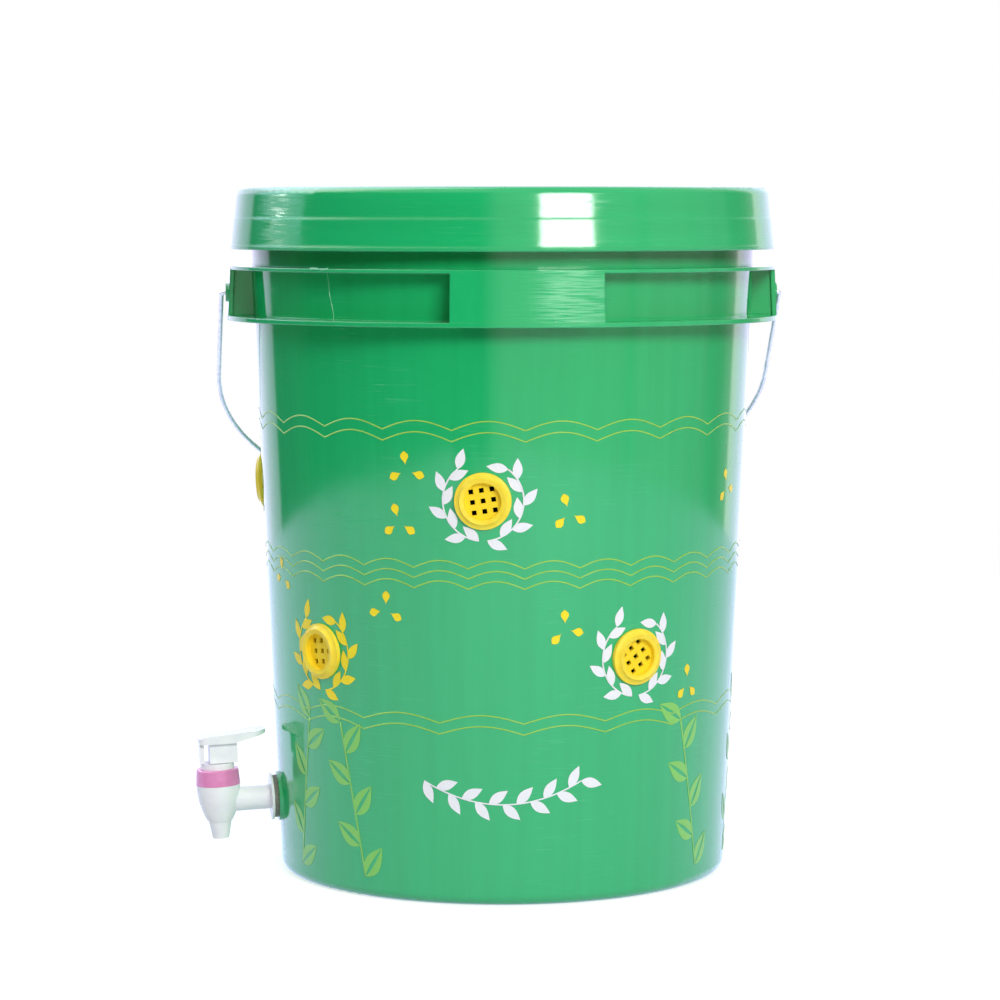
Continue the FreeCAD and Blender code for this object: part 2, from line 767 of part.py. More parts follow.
def make_strainer_plate():
    body = new_body("strainer_plate")
    socket_low = strainer_under - dim.socket_depth
    revolved(body, "Plate", [
        (0, strainer_under),
        (strainer_r - dim.strainer_rim_wall, strainer_under),
        (strainer_r - dim.strainer_rim_wall, strainer_top - dim.strainer_rim),
        (strainer_r, strainer_top - dim.strainer_rim),
        (strainer_r, strainer_top),
        (0, strainer_top),
    ])
    socket_out = socket_r + dim.socket_wall
    ring = ring_outline(new_sketch(body, "SocketRing", "XY_Plane", socket_low), foot_circle, 0,
                        [socket_r, socket_out])
    socket = extruded(body, "Socket", ring, dim.socket_depth + dim.strainer_plate / 2)
    round_the_axis(body, "Sockets", [socket], FEET)
    drain_pitch = (foot_circle - socket_out - dim.drain_land) / DRAIN_RINGS
    drains = [(drain_pitch * (index + 1), DRAIN_COUNT_STEP * (index + 1)) for index in range(DRAIN_RINGS)]
    drains.append((strainer_r - dim.drain_edge, EDGE_DRAIN_COUNT))
    for index, (radius, count) in enumerate(drains, start=1):
        circle = ring_outline(new_sketch(body, f"DrainCircle{index}", "XY_Plane", strainer_under),
                              radius, 0, [dim.drain_r])
        hole = extruded(body, f"Drain{index}", circle, dim.strainer_plate, cut=True, backwards=True)
        round_the_axis(body, f"Drains{index}", [hole], count)
    return body


def make_strainer_feet():
    body = new_body("strainer_feet")
    tube = ring_outline(new_sketch(body, "TubeRing", "XY_Plane", floor_top), foot_circle, 0,
                        [dim.foot_r - dim.foot_wall, dim.foot_r])
    foot = extruded(body, "Tube", tube, strainer_under - floor_top)
    round_the_axis(body, "Feet", [foot], FEET)
    return body


# Vents

vent_barrel_r = dim.vent_dish_r + dim.vent_barrel_wall
vent_ring_r = vent_barrel_r + dim.vent_ring_clear + dim.vent_ring_width


def vent_height(row):
    return dim.vent_upper_z if row == "upper" else dim.vent_lower_z


def vent_ring_front(height):
    """Face of the retaining ring: just inside the curve of the bore across its width."""
    curve = vent_ring_r * vent_ring_r / (bore_at(height - vent_ring_r) * 2)
    return -(dim.wall + curve + dim.vent_seat_clear)


def make_wall_envelope():
    """Space that the wall fills, a touch larger, which saddles the vents' flanges."""
    cone = doc.addObject("Part::Cone", "WallEnvelope")
    clear = dim.vent_seat_clear
    bind(cone, "Radius1", dim.base_r + clear)
    bind(cone, "Radius2", wall_at(rim_top) + clear)
    bind(cone, "Height", rim_top)
    return cone


def make_vent(label, place, height, envelope):
    flange = new_body(label + "_flange", place)
    under = -vent_ring_r * vent_ring_r / wall_at(height)
    dome_r = dim.vent_r - dim.vent_dish_r - dim.vent_face
    revolved(flange, "Flange", [
        (under, dim.vent_dish_r),
        (dim.vent_proud - dim.vent_face / 4, dim.vent_dish_r),
        (dim.vent_proud, dim.vent_dish_r + dim.vent_face, -dim.vent_dome_r),
        (dim.vent_shoulder, dim.vent_dish_r + dim.vent_face + dome_r),
        (under, dim.vent_r),
    ], axis="H_Axis")
    saddle = doc.addObject("Part::Cut", "Saddle_" + label)
    saddle.Base = flange
    saddle.Tool = envelope

    barrel = new_body(label + "_barrel", place)
    disc_face = dim.vent_proud - dim.vent_dish_depth
    disc_back = disc_face - dim.vent_disc
    lip_front = vent_ring_front(height) - dim.vent_ring - dim.vent_seat_clear
    barrel_end = lip_front - dim.vent_lip_length
    revolved(barrel, "Barrel", [
        (disc_face, 0),
        (disc_face, dim.vent_dish_r),
        (dim.vent_shoulder, dim.vent_dish_r),
        (dim.vent_shoulder, vent_barrel_r),
        (lip_front, vent_barrel_r),
        (lip_front, vent_barrel_r + dim.vent_lip),
        (barrel_end, vent_barrel_r),
        (barrel_end, dim.vent_dish_r),
        (disc_back, dim.vent_dish_r),
        (disc_back, 0),
    ], axis="H_Axis")
    grid = new_sketch(barrel, "Grid", "YZ_Plane", disc_back)
    half = dim.vent_hole / 2
    steps = [index - (VENT_ROW - 1) / 2 for index in range(VENT_ROW)]
    for column in steps:
        for line in steps:
            x, y = dim.vent_hole_pitch * column, dim.vent_hole_pitch * line
            outline(grid, [(x - half, y - half), (x + half, y - half),
                           (x + half, y + half), (x - half, y + half)])
    extruded(barrel, "GridHoles", grid, dim.vent_disc, cut=True, backwards=True)

    vent = doc.addObject("Part::Fuse", "Vent_" + label)
    vent.Label = label
    vent.Base = saddle
    vent.Tool = barrel
    doc.recompute()
    return vent


def make_vent_ring(label, place, height):
    body = new_body(label, place)
    front = vent_ring_front(height)
    back = front - dim.vent_ring
    inner = vent_barrel_r + dim.vent_ring_clear
    revolved(body, "Ring", [(back, inner), (front, inner), (front, vent_ring_r), (back, vent_ring_r)],
             axis="H_Axis")
    return body


# Tap

def tap_place():
    return on_wall(dim.tap_azimuth, dim.tap_z, out=dim.tap_reach)


def make_tap_body():
    body = new_body("tap_body", tap_place())
    nozzle_top = -dim.tap_step
    nozzle_tip = nozzle_top - dim.nozzle_length
    revolved(body, "Chamber", [
        (0, dim.tap_top),
        (0, nozzle_tip),
        (dim.nozzle_tip_r, nozzle_tip),
        (dim.nozzle_top_r, nozzle_top),
        (dim.tap_body_low_r, nozzle_top, dim.tap_body_curve_r),
        (dim.tap_body_r, shoulder_z),
        (dim.tap_thread_r, shoulder_z),
        (dim.tap_thread_r, dim.tap_top),
    ])
    revolved(body, "Inlet", [
        (shank_end_x, 0),
        (0, 0),
        (0, dim.tap_pipe_r),
        (tap_flange_face, dim.tap_pipe_r),
        (tap_flange_face, dim.tap_flange_r),
        (tap_flange_back, dim.tap_flange_r),
        (tap_flange_back, dim.shank_r),
        (shank_end_x, dim.shank_r),
    ], axis="H_Axis")
    above = dim.tap_top + dim.cut_over
    below = nozzle_tip - dim.cut_over
    revolved(body, "Cavity", [
        (0, above),
        (0, below),
        (dim.nozzle_bore_r, below),
        (dim.nozzle_bore_r, seat_z),
        (dim.chamber_r, seat_z),
        (dim.chamber_r, above),
    ], cut=True)
    bore_start = shank_end_x - dim.cut_over
    round_bar(body, "InletBore", dim.tap_pipe_bore_r, -bore_start, along_x(bore_start), cut=True)
    return body


def make_tap_washer(label, start, thickness, outer_r):
    body = new_body(label, tap_place())
    inner = dim.shank_r + dim.shank_clear
    end = start + thickness
    revolved(body, "Washer", [(start, inner), (end, inner), (end, outer_r), (start, outer_r)],
             axis="H_Axis")
    return body


def make_tap_nut():
    body = new_body("tap_nut", tap_place())
    sketch = new_sketch(body, "Hexagon", "YZ_Plane", nut_back_x)
    corners = [(nut_corner_r * math.sin(math.radians(60 * side)),
                nut_corner_r * math.cos(math.radians(60 * side))) for side in range(6)]
    outline(sketch, corners)
    ring_outline(sketch, 0, 0, [dim.shank_r + dim.shank_clear / 2])
    extruded(body, "Hex", sketch, dim.nut_depth)
    return body


def make_tap_bonnet():
    body = new_body("tap_bonnet", tap_place())
    hole_r = dim.stem_r + dim.stem_clear
    revolved(body, "Bonnet", [
        (hole_r, bonnet_under),
        (dim.chamber_r - dim.bonnet_clear, bonnet_under),
        (dim.chamber_r - dim.bonnet_clear, dim.tap_top),
        (dim.tap_thread_r, dim.tap_top),
        (dim.tap_thread_r, bonnet_flange_top),
        (dim.bonnet_disc_r, bonnet_flange_top),
        (dim.bonnet_disc_r, bonnet_top),
        (hole_r, bonnet_top),
    ])
    return body


def make_tap_collar():
    body = new_body("tap_collar", tap_place())
    lip_low = bonnet_flange_top
    top = lip_low + dim.collar_lip
    low = shoulder_z + dim.bonnet_clear
    bevel = dim.collar_lip / 2
    revolved(body, "Collar", [
        (dim.tap_thread_r + dim.bonnet_clear, low),
        (dim.collar_r, low),
        (dim.collar_r - dim.collar_taper, top - bevel),
        (dim.collar_r - dim.collar_taper - bevel, top),
        (dim.bonnet_disc_r + dim.bonnet_clear, top),
        (dim.bonnet_disc_r + dim.bonnet_clear, lip_low),
        (dim.tap_thread_r + dim.bonnet_clear, lip_low),
    ])
    return body


def make_tap_seal():
    body = new_body("tap_seal", tap_place())
    socket_r = dim.stem_spigot_r + dim.stem_clear
    socket_z = stem_foot_z - dim.stem_spigot - dim.stem_clear
    revolved(body, "Seal", [
        (0, seat_z),
        (dim.seal_r, seat_z),
        (dim.seal_r, seat_z + dim.seal_height / 2),
        (dim.stem_foot_r, stem_foot_z),
        (socket_r, stem_foot_z),
        (socket_r, socket_z),
        (0, socket_z),
    ])
    return body


def make_tap_stem():
    body = new_body("tap_stem", tap_place())
    foot_top = stem_foot_z + dim.stem_foot
    revolved(body, "Rod", [
        (0, stem_foot_z - dim.stem_spigot),
        (dim.stem_spigot_r, stem_foot_z - dim.stem_spigot),
        (dim.stem_spigot_r, stem_foot_z),
        (dim.stem_foot_r, stem_foot_z),
        (dim.stem_foot_r, foot_top),
        (dim.stem_r, foot_top),
        (dim.stem_r, pin_z),
        (0, pin_z),
    ])
    eye = ring_outline(new_sketch(body, "EyeCircle"), 0, pin_z, [dim.stem_eye_r])
    extruded(body, "Eye", eye, dim.stem_eye, midplane=True)
    hole = ring_outline(new_sketch(body, "PinCircle"), 0, pin_z,
                        [dim.lever_pin_r + dim.lever_pin_clear])
    extruded(body, "PinHole", hole, dim.stem_r * 4, cut=True, midplane=True)
    return body


def make_tap_lever():
    body = new_body("tap_lever", tap_place())
    tip_low = hub_high + dim.paddle_tip_rise
    root_top = hub_high + dim.paddle_root_thickness
    front_top = hub_high + dim.paddle_front_thickness
    side = outline(new_sketch(body, "PaddleSide"), [
        (dim.post_front, hub_high),
        (dim.post_front, front_top, dim.paddle_front_r),
        (dim.post_front - dim.paddle_front_run, root_top),
        (-dim.paddle_tip, tip_low + dim.paddle_tip_thickness),
        (-dim.paddle_tip, tip_low),
        (-dim.paddle_root, hub_high),
    ])
    extruded(body, "Paddle", side, dim.paddle_width, midplane=True)
    rounded(body, "TipRound", upright_edges(body, -dim.paddle_tip), dim.paddle_tip_round)
    rounded(body, "FrontRound", upright_edges(body, dim.post_front), dim.paddle_front_round)
    hub = outline(new_sketch(body, "HubSide"), [
        (-dim.hub_back, hub_low),
        (dim.hub_front, hub_low),
        (dim.hub_front, hub_high),
        (-dim.hub_back / 2, hub_high),
        (-dim.hub_back, hub_high + dim.paddle_tip_rise / 4),
    ])
    extruded(body, "Hub", hub, dim.hub_width, midplane=True)
    post_back = dim.post_front - dim.post_thickness
    post = outline(new_sketch(body, "PostSide"), [
        (post_back, hub_low),
        (dim.post_front - dim.post_inset, hub_low),
        (dim.post_front - dim.post_inset, hub_high + dim.lever_gap),
        (post_back, hub_high + dim.lever_gap),
    ])
    extruded(body, "Post", post, dim.hub_width - dim.paddle_front_round / 2, midplane=True)
    slot_half = dim.stem_slot / 2
    slot_width = dim.stem_r * 2 + dim.stem_slot_clear * 2
    slot_top = pin_z + dim.stem_eye_r + dim.stem_slot_clear
    slot = outline(new_sketch(body, "SlotSide"), [
        (-slot_half, hub_low - dim.lever_gap),
        (slot_half, hub_low - dim.lever_gap),
        (slot_half, slot_top),
        (-slot_half, slot_top),
    ])
    extruded(body, "StemSlot", slot, slot_width, cut=True, midplane=True)
    hole = ring_outline(new_sketch(body, "PinCircle"), 0, pin_z,
                        [dim.lever_pin_r + dim.lever_pin_clear / 2])
    extruded(body, "PinHole", hole, dim.paddle_width, cut=True, midplane=True)
    return body


def make_tap_lever_pin():
    body = new_body("tap_lever_pin", tap_place())
    circle = ring_outline(new_sketch(body, "PinSection"), 0, pin_z, [dim.lever_pin_r])
    extruded(body, "Pin", circle, dim.hub_width, midplane=True)
    return body


def helix_point(radius, low, rise, turn):
    angle = math.tau * turn
    return Vector(radius * math.cos(angle), radius * math.sin(angle), low + rise * turn)


def helix_tangent(radius, rise, turn):
    angle = math.tau * turn
    along = Vector(-radius * math.sin(angle), radius * math.cos(angle), rise / math.tau)
    return along.normalize()


def biarc(start, start_along, end, end_along):
    """Two tangent arcs from start to end, equal in reach at both ends."""
    chord = end - start
    both = start_along + end_along
    square = both.dot(both)
    a = 4 - square
    b = 2 * chord.dot(both)
    c = -chord.dot(chord)
    reach = (-b + math.sqrt(b * b - 4 * a * c)) / (2 * a)
    knee_a = start + start_along * reach
    knee_b = end - end_along * reach
    join = (knee_a + knee_b) / 2
    along = (knee_b - knee_a).normalize()
    arcs = []
    for first, first_along, last in ((start, start_along, join), (join, along, end)):
        span = last - first
        normal = span - first_along * span.dot(first_along)
        radius = span.dot(span) / (2 * normal.Length)
        centre = first + normal.normalize() * radius
        middle = centre + ((first + last) / 2 - centre).normalize() * radius
        arcs.append(Part.Arc(first, middle, last).toShape())
    return arcs


def make_tap_spring():
    """Compression spring: one tube along the helix, in arcs of an eighth of a turn."""
    radius, wire = float(dim.spring_r), float(dim.spring_wire_r)
    turns = int(dim.spring_turns.number)
    low = float(spring_low_z)
    rise = (float(spring_high_z) - low) / turns
    marks = [index / 4 for index in range(turns * 4 + 1)]
    edges = []
    for first, last in zip(marks, marks[1:]):
        edges += biarc(helix_point(radius, low, rise, first), helix_tangent(radius, rise, first),
                       helix_point(radius, low, rise, last), helix_tangent(radius, rise, last))
    section = Part.Circle(helix_point(radius, low, rise, 0), helix_tangent(radius, rise, 0), wire)
    pipe = Part.BRepOffsetAPI.MakePipeShell(Part.Wire(edges))
    pipe.add(Part.Wire(section.toShape()))
    pipe.build()
    pipe.makeSolid()
    print("tap_spring: least gap between turns %.2f mm" % (rise - 2 * wire))
    spring = doc.addObject("Part::Feature", "Spring")
    spring.Label = "tap_spring"
    spring.Shape = pipe.shape()
    spring.Placement = tap_place()
    return spring


# Assembly

def build():
    pieces = [make_bucket(), make_lid(), make_gasket(), make_bail_wire(), make_bail_grip()]
    pieces += [make_strainer_plate(), make_strainer_feet()]
    envelope = make_wall_envelope()
    for label, (azimuth, row, spin) in VENTS.items():
        place = on_wall(azimuth, vent_height(row), spin=spin)
        pieces.append(make_vent(label, place, vent_height(row), envelope))
        pieces.append(make_vent_ring(label.replace("vent_", "vent_ring_"), place, vent_height(row)))
    pieces += [
        make_tap_body(),
        make_tap_washer("tap_outer_washer", tap_boss_x, dim.tap_washer, dim.tap_washer_r),
        make_tap_washer("tap_inner_washer", nut_front_x, dim.inner_washer, dim.tap_flange_r),
        make_tap_nut(),
        make_tap_bonnet(),
        make_tap_collar(),
        make_tap_seal(),
        make_tap_stem(),
        make_tap_lever(),
        make_tap_lever_pin(),
        make_tap_spring(),
    ]
    return pieces


def check(pieces):
    doc.recompute()
    faults = [item.Label for item in doc.Objects if {"Invalid", "Error"} & set(item.State)]
    for piece in pieces:
        if piece.Shape.isNull() or not piece.Shape.isValid() or not piece.Shape.Solids:
            faults.append(piece.Label)
    if faults:
        raise RuntimeError("failed pieces: " + ", ".join(faults))


def write(pieces):
    os.makedirs("parts", exist_ok=True)
    for piece in pieces:
        piece.Shape.exportStep(f"parts/{piece.Label}.step")
        print(piece.Label, len(piece.Shape.Solids), round(piece.Shape.Volume, 1))


pieces = build()
check(pieces)
write(pieces)
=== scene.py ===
import json
import math
import random

import bpy
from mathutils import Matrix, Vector


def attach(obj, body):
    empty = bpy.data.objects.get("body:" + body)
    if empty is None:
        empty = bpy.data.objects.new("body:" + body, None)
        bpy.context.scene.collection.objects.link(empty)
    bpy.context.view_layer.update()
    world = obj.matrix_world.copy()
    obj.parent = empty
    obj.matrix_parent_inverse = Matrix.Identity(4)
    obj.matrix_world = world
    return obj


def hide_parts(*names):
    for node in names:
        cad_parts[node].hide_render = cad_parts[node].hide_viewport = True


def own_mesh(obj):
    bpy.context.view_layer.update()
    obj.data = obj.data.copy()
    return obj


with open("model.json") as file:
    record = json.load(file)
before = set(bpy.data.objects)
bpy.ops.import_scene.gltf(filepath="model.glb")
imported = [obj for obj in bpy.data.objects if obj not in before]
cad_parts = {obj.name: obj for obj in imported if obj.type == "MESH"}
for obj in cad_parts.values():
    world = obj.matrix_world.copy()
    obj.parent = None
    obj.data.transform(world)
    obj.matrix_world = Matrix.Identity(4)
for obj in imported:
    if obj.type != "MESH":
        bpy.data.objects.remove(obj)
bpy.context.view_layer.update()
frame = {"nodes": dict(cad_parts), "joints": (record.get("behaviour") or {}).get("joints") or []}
nodes = frame["nodes"]
joints = {joint["name"]: joint for joint in frame["joints"]}
scene = bpy.context.scene
mm = 0.001
white = (1.0, 1.0, 1.0, 1.0)
print("frame:", len(nodes), "nodes loaded")

# The wall's cone, as in the solids: radius at the foot and growth per height; the print is flat at one reach
wall = {"foot": 126.7 * mm, "slope": 0.0456, "reach": 135.0 * mm}
vents = {  # degrees round the bin from the front, height in millimetres, ink of the wreath printed round it
    "vent_upper_left": (-99.4, 220.5, "yellow"),
    "vent_upper_front": (-9.4, 220.5, "white"),
    "vent_lower_left": (-53.3, 134.0, "yellow"),
    "vent_lower_right": (28.0, 134.0, "white"),
    "vent_lower_back_left": (-143.3, 134.0, "white"),
    "vent_lower_back_right": (118.0, 134.0, "yellow"),
}


def around(azimuth, radius, height):  # degrees from the front to the right, metres
    a = math.radians(azimuth)
    return Vector((radius * math.sin(a), -radius * math.cos(a), height))


def colour(code):  # sRGB hex to linear
    parts = [int(code[i:i + 2], 16) / 255 for i in (1, 3, 5)]
    return tuple(c / 12.92 if c <= 0.04045 else ((c + 0.055) / 1.055) ** 2.4 for c in parts) + (1.0,)


def connect(tree, node, values):  # socket name or number to a plain value, a socket or a node's first output
    for name, value in values.items():
        if isinstance(value, bpy.types.Node):
            value = value.outputs[0]
        if isinstance(value, bpy.types.NodeSocket):
            tree.links.new(value, node.inputs[name])
        else:
            node.inputs[name].default_value = value


def addNode(tree, kind, values=None, **settings):
    node = tree.nodes.new(kind)
    for name, value in settings.items():
        setattr(node, name, value)
    connect(tree, node, values or {})
    return node


def startMaterial(name, **shaderValues):
    material = bpy.data.materials.new(name)
    material.use_nodes = True
    tree = material.node_tree
    tree.nodes.clear()
    shader = addNode(tree, "ShaderNodeBsdfPrincipled", shaderValues)
    addNode(tree, "ShaderNodeOutputMaterial", {"Surface": shader})
    return material, tree, shader


def dress(material, *names):
    for name in names:
        data = nodes[name].data
        if not data.materials:
            data.materials.append(material)
        for slot in range(len(data.materials)):
            data.materials[slot] = material


# Moulded polypropylene: glossy and a little milky, with faint flow streaks, soft edges and fine handling
# scuffs; rubbed spots blur the lamps where hands and crates brush it
shell = {
    "colour": "#20B76C", "streakColour": "#1EB268", "scuffColour": "#6CCB9C", "ior": 1.49,
    "streakWidth": 7 * mm, "streakLength": 260 * mm, "streakLow": 0.38, "streakHigh": 0.68,
    "scuffWidth": 0.9 * mm, "scuffLength": 22 * mm,  # real scuffs are near 0.1 mm wide, drawn coarser to show
    "scuffTilt": math.radians(12), "scuffLow": 0.56, "scuffHigh": 0.74, "scuffTint": 0.18,
    "patch": 55 * mm, "patchLow": 0.46, "patchHigh": 0.66,  # scuffs come in patches
    "rubLow": 0.36, "rubHigh": 0.62, "rubCore": 1 / 3,  # a rubbed spot is full to a third of its reach
    "gloss": 0.08, "scuffed": 0.36, "wave": 38 * mm, "waveStrength": 0.2, "waveDepth": 0.3 * mm,
}
shellPieces = {  # flow direction, edge radius, then the middle, reach and strength of each rubbed spot
    "bucket": {"upright": True, "edge": 1.2 * mm, "rubbed": [((0.026, -0.152, 0.327), 42 * mm, 0.75)]},
    "lid": {"upright": False, "edge": 1.8 * mm,
            "rubbed": [((0.030, -0.149, 0.372), 60 * mm, 0.22), ((-0.1277, -0.0861, 0.370), 33 * mm, 1.0)]},
}
for name, piece in shellPieces.items():
    material, tree, shader = startMaterial("mouldedPolypropylene" + name.capitalize(), IOR=shell["ior"])
    place = addNode(tree, "ShaderNodeTexCoord").outputs["Object"]
    along = shell["streakWidth"] / shell["streakLength"]
    stretch = (1.0, 1.0, along) if piece["upright"] else (along, along, 1.0)
    streakPlace = addNode(tree, "ShaderNodeMapping", {"Vector": place, "Scale": stretch})
    streak = addNode(tree, "ShaderNodeTexNoise", {"Vector": streakPlace, "Scale": 1 / shell["streakWidth"],
                     "Detail": 3.0, "Roughness": 0.55})
    streaks = addNode(tree, "ShaderNodeMapRange", {"Value": streak, 1: shell["streakLow"],
                      2: shell["streakHigh"]})
    tint = addNode(tree, "ShaderNodeMix", {0: streaks, 6: colour(shell["colour"]),
                   7: colour(shell["streakColour"])}, data_type="RGBA")
    lie = shell["scuffWidth"] / shell["scuffLength"]
    scuffPlace = addNode(tree, "ShaderNodeMapping", {"Vector": place, "Scale": (lie, lie, 1.0),
                         "Rotation": (0.0, shell["scuffTilt"], 0.0)})
    scuff = addNode(tree, "ShaderNodeTexNoise", {"Vector": scuffPlace, "Scale": 1 / shell["scuffWidth"],
                    "Detail": 2.0, "Roughness": 0.6})
    patch = addNode(tree, "ShaderNodeTexNoise", {"Vector": place, "Scale": 1 / shell["patch"], "Detail": 2.0})
    patches = addNode(tree, "ShaderNodeMapRange", {"Value": patch, 1: shell["patchLow"],
                      2: shell["patchHigh"]})
    lines = addNode(tree, "ShaderNodeMapRange", {"Value": scuff, 1: shell["scuffLow"], 2: shell["scuffHigh"]})
    worn = addNode(tree, "ShaderNodeMath", {0: lines, 1: patches}, operation="MULTIPLY")
    brushed = addNode(tree, "ShaderNodeMapRange", {"Value": scuff, 1: shell["rubLow"], 2: shell["rubHigh"]})
    for middle, reach, strength in piece["rubbed"]:
        away = addNode(tree, "ShaderNodeVectorMath", {0: place, 1: middle}, operation="DISTANCE")
        near = addNode(tree, "ShaderNodeMapRange", {"Value": away.outputs["Value"],
                       1: reach * shell["rubCore"], 2: reach, 3: strength, 4: 0.0})
        rub = addNode(tree, "ShaderNodeMath", {0: brushed, 1: near}, operation="MULTIPLY")
        worn = addNode(tree, "ShaderNodeMath", {0: worn, 1: rub}, operation="MAXIMUM")
    faint = addNode(tree, "ShaderNodeMath", {0: worn, 1: shell["scuffTint"]}, operation="MULTIPLY")
    skin = addNode(tree, "ShaderNodeMix", {0: faint, 6: tint.outputs[2], 7: colour(shell["scuffColour"])},
                   data_type="RGBA")
    rough = addNode(tree, "ShaderNodeMapRange", {"Value": worn, 3: shell["gloss"], 4: shell["scuffed"]})
    wave = addNode(tree, "ShaderNodeTexNoise", {"Vector": place, "Scale": 1 / shell["wave"], "Detail": 1.0})
    edge = addNode(tree, "ShaderNodeBevel", {"Radius": piece["edge"]}, samples=4)
    bump = addNode(tree, "ShaderNodeBump", {"Height": wave, "Strength": shell["waveStrength"],
                   "Distance": shell["waveDepth"], "Normal": edge})
    connect(tree, shader, {"Base Color": skin.outputs[2], "Roughness": rough, "Normal": bump})
    dress(material, name)

# Smaller moulded pieces: one recipe each, grain sizes in millimetres
finishes = {
    # vents: soft yellow polypropylene, low gloss, slightly cloudy
    "yellowPolypropylene": dict(base="#FFE748", drift="#FFDE3C", grain=5.0, gloss=(0.36, 0.46), bump=0.06,
                                ior=1.49, shine=0.25,
                                nodes=[name for name in nodes if name.startswith("vent_ring")]),
    # tap: white moulded acetal, satin, a touch cooler in the drifts
    "whiteAcetal": dict(base="#FBFBFD", drift="#F5F4FA", grain=6.0, gloss=(0.24, 0.32), bump=0.015,
                        ior=1.48, shine=0.22, nodes=["tap_body", "tap_bonnet", "tap_lever", "tap_lever_pin",
                                                     "tap_nut", "tap_stem"]),
    # collar: pink moulded acetal, glossy
    "pinkAcetal": dict(base="#EC92C6", drift="#E686BD", grain=4.0, gloss=(0.16, 0.26), bump=0.04,
                       ior=1.48, shine=0.5, nodes=["tap_collar"]),
    # washers, seal and gasket: moulded grey rubber, dull, with a dusty bloom
    "greyRubber": dict(base="#8D8A82", drift="#777269", grain=1.4, gloss=(0.60, 0.78), bump=0.20,
                       ior=1.52, shine=0.5,
                       nodes=["tap_outer_washer", "tap_inner_washer", "tap_seal", "lid_gasket"]),
    # grip: black moulded polyethylene, waxy
    "blackPolyethylene": dict(base="#1B1C1E", drift="#26272A", grain=2.2, gloss=(0.38, 0.52), bump=0.12,
                              ior=1.51, shine=0.5, nodes=["bail_grip"]),
    # strainer: dark recycled polypropylene with pale flecks
    "recycledPolypropylene": dict(base="#1D201E", drift="#34382F", grain=1.2, gloss=(0.36, 0.55), bump=0.10,
                                  ior=1.49, shine=0.5, nodes=["strainer_plate", "strainer_feet"]),
    # mould flash, a piece of the scene: green polypropylene painted paler than the wall, a painted highlight
    # along the thin seam and its bead
    "flashPaintedHighlight": dict(base="#8ADBAE", drift="#5CC492", grain=3.0, gloss=(0.20, 0.34), bump=0.05,
                                   ior=1.49, shine=0.5, nodes=[]),
}
grainLook = {"low": 0.38, "high": 0.64, "detail": 3.0, "depth": 0.3 * mm}


def finish(name, look):
    material, tree, shader = startMaterial(name, **{"IOR": look["ior"], "Specular IOR Level": look["shine"]})
    place = addNode(tree, "ShaderNodeTexCoord").outputs["Object"]
    grain = addNode(tree, "ShaderNodeTexNoise", {"Vector": place, "Scale": 1 / (look["grain"] * mm),
                    "Detail": grainLook["detail"]})
    level = addNode(tree, "ShaderNodeMapRange", {"Value": grain, 1: grainLook["low"], 2: grainLook["high"]})
    skin = addNode(tree, "ShaderNodeMix", {0: level, 6: colour(look["base"]), 7: colour(look["drift"])},
                   data_type="RGBA")
    rough = addNode(tree, "ShaderNodeMapRange", {"Value": level, 3: look["gloss"][0], 4: look["gloss"][1]})
    bump = addNode(tree, "ShaderNodeBump", {"Height": grain, "Strength": look["bump"],
                   "Distance": grainLook["depth"]})
    connect(tree, shader, {"Base Color": skin.outputs[2], "Roughness": rough, "Normal": bump})
    return material, tree, shader, skin, place


for name, look in finishes.items():
    dress(finish(name, look)[0], *look["nodes"])

# Painted shade: each vent's dish is a deeper yellow than its flange, standing in for the light its walls
# bounce and hold back; told apart by the distance from the vent's own axis
dishShade = {"reach": 10.3 * mm, "soft": 0.6 * mm, "colour": "#FFE02A"}
ventLook = finishes["yellowPolypropylene"]
wallTilt = math.atan(wall["slope"])
for name, (azimuth, height, ink) in vents.items():
    material, tree, shader, skin, place = finish("yellowPolypropylene_" + name, ventLook)
    middle = around(azimuth, wall["foot"] + wall["slope"] * height * mm, height * mm)
    axis = around(azimuth, math.cos(wallTilt), -math.sin(wallTilt))
    offset = addNode(tree, "ShaderNodeVectorMath", {0: place, 1: middle}, operation="SUBTRACT")
    swept = addNode(tree, "ShaderNodeVectorMath", {0: offset, 1: axis}, operation="CROSS_PRODUCT")
    away = addNode(tree, "ShaderNodeVectorMath", {0: swept}, operation="LENGTH")
    dishShadeMask = addNode(tree, "ShaderNodeMapRange", {"Value": away.outputs["Value"],
                     1: dishShade["reach"] - dishShade["soft"], 2: dishShade["reach"] + dishShade["soft"], 3: 1.0, 4: 0.0})
    # painted shade: the recessed dish gets the deeper yellow
    shadedDish = addNode(tree, "ShaderNodeMix", {0: dishShadeMask, 6: skin.outputs[2], 7: colour(dishShade["colour"])},
                   data_type="RGBA")
    connect(tree, shader, {"Base Color": shadedDish.outputs[2]})
    dress(material, name)

# Drawn wire: galvanised on the bail, stainless in the tap; bright, with dull zinc patches
wires = {
    "galvanisedWire": dict(base="#EDEEF0", drift="#CFD2D6", grain=3.0, gloss=(0.30, 0.48), metal=0.6,
                           nodes=["bail_wire"]),  # dull oxide over the zinc, so only partly metal to the eye
    "stainlessWire": dict(base="#CFCFCC", drift="#BDBDBA", grain=0.8, gloss=(0.16, 0.26), metal=1.0,
                          nodes=["tap_spring"]),
}
for name, look in wires.items():
    material, tree, shader = startMaterial(name, Metallic=look["metal"])
    place = addNode(tree, "ShaderNodeTexCoord").outputs["Object"]
    cells = addNode(tree, "ShaderNodeTexVoronoi", {"Vector": place, "Scale": 1 / (look["grain"] * mm)})
    zinc = cells.outputs["Distance"]
    skin = addNode(tree, "ShaderNodeMix", {0: zinc, 6: colour(look["base"]), 7: colour(look["drift"])},
                   data_type="RGBA")
    rough = addNode(tree, "ShaderNodeMapRange", {"Value": zinc, 3: look["gloss"][0], 4: look["gloss"][1]})
    connect(tree, shader, {"Base Color": skin.outputs[2], "Roughness": rough})
    dress(material, *look["nodes"])
print("materials:", len(bpy.data.materials), "in the file")

